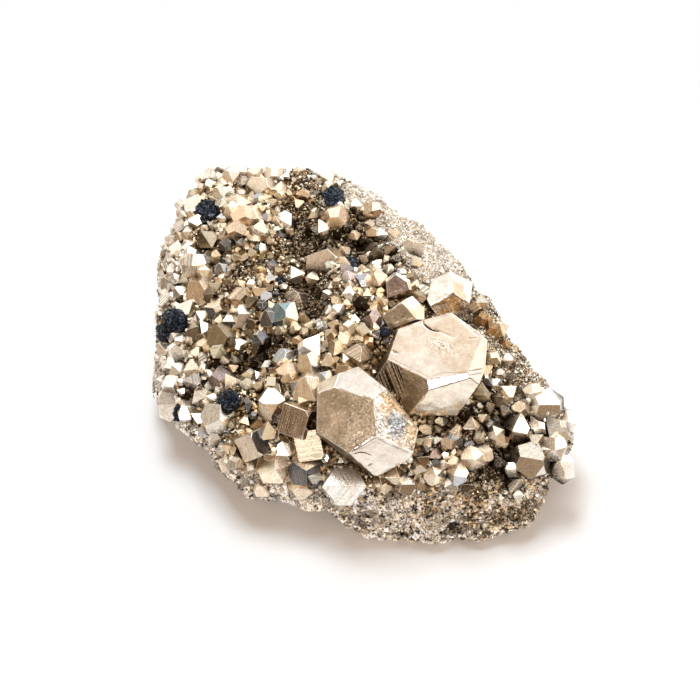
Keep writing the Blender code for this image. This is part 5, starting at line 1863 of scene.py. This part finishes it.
def floor_material():
    """A pale floor that fades into the pale surroundings away from the part."""
    material = bpy.data.materials.new("pale_floor")
    material.use_nodes = True
    tree = material.node_tree
    shader = tree.nodes["Principled BSDF"]
    shader.inputs["Base Color"].default_value = (*FLOOR_COLOUR, 1)
    shader.inputs["Roughness"].default_value = 0.9
    shader.inputs["Specular IOR Level"].default_value = 0.1
    place = node(tree, "ShaderNodeTexCoord")
    far = node(tree, "ShaderNodeVectorMath", {0: place.outputs["Object"]}, operation="LENGTH")
    share = node(tree, "ShaderNodeMapRange", {
        "Value": far.outputs["Value"], "From Min": FLOOR_FADE[0], "From Max": FLOOR_FADE[1],
    }, interpolation_type="SMOOTHSTEP")
    clear = node(tree, "ShaderNodeBsdfTransparent")
    mixed = node(tree, "ShaderNodeMixShader", {
        0: share.outputs["Result"], 1: shader.outputs["BSDF"], 2: clear.outputs["BSDF"],
    })
    tree.links.new(mixed.outputs["Shader"], tree.nodes["Material Output"].inputs["Surface"])
    return material


bpy.ops.object.select_all(action="DESELECT")
bpy.ops.mesh.primitive_circle_add(vertices=96, radius=FLOOR_FADE[1], fill_type="NGON",
                                  location=(0, 0, -FLOOR_DROP))
floor = bpy.context.object
floor.name = "floor"
floor.data.materials.append(floor_material())


def studio_world():
    """Pale behind the part, and round it a dim warm room that brightens towards the light."""
    world = bpy.data.worlds.new("studio")
    world.use_nodes = True
    tree = world.node_tree
    background = tree.nodes["Background"]
    place = node(tree, "ShaderNodeTexCoord")
    toward = node(tree, "ShaderNodeVectorMath", {
        0: place.outputs["Generated"], 1: Vector(BRIGHT_SIDE).normalized(),
    }, operation="DOT_PRODUCT")
    share = node(tree, "ShaderNodeMapRange", {
        "Value": toward.outputs["Value"], "From Min": -1.0, "From Max": 1.0,
    })
    ramp = node(tree, "ShaderNodeValToRGB", {"Fac": share.outputs["Result"]})
    stops = ramp.color_ramp.elements
    while len(stops) < len(ROOM_TONES):
        stops.new(0.5)
    for stop, (share_at, tone) in zip(stops, ROOM_TONES):
        stop.position = share_at
        stop.color = (*tone, 1)
    tree.links.new(ramp.outputs["Color"], background.inputs["Color"])
    background.inputs["Strength"].default_value = ROOM_STRENGTH
    seen = node(tree, "ShaderNodeBackground", {"Color": (1, 1, 1, 1), "Strength": 1.0})
    ambient = node(tree, "ShaderNodeBackground", {"Color": (*ROOM_AMBIENT, 1), "Strength": 1.0})
    path = node(tree, "ShaderNodeLightPath")
    around = node(tree, "ShaderNodeMixShader", {
        0: path.outputs["Is Diffuse Ray"], 1: background.outputs["Background"],
        2: ambient.outputs["Background"],
    })
    mixed = node(tree, "ShaderNodeMixShader", {
        0: path.outputs["Is Camera Ray"], 1: around.outputs["Shader"],
        2: seen.outputs["Background"],
    })
    tree.links.new(mixed.outputs["Shader"], tree.nodes["World Output"].inputs["Surface"])
    scene.world = world


studio_world()


def soft_light(name, toward, away, size, watts, colour, shiny):
    """A square soft light in a direction from the part, turned to face it."""
    light = bpy.data.lights.new(name, "AREA")
    light.shape = "RECTANGLE"
    light.size, light.size_y = size
    light.energy = watts
    light.color = colour
    lamp = bpy.data.objects.new(name, light)
    place = Vector(toward).normalized()
    lamp.location = place * away + Vector((0, 0, LIT_HEIGHT))
    lamp.rotation_euler = place.to_track_quat("Z", "Y").to_euler()
    lamp.visible_glossy = shiny
    scene.collection.objects.link(lamp)


for lamp in LAMPS:
    soft_light(*lamp)

scene.view_settings.view_transform = "Standard"
scene.view_settings.look = "None"
scene.view_settings.exposure = 0

lens = bpy.data.cameras.new("view")
lens.lens = LENS
lens.sensor_width = FILM
lens.clip_start = 0.01
camera = bpy.data.objects.new("view", lens)
camera.location = sheet.viewpoint * MM
camera.rotation_euler = sheet.toward.to_track_quat("Z", "Y").to_euler()
scene.collection.objects.link(camera)
scene.camera = camera
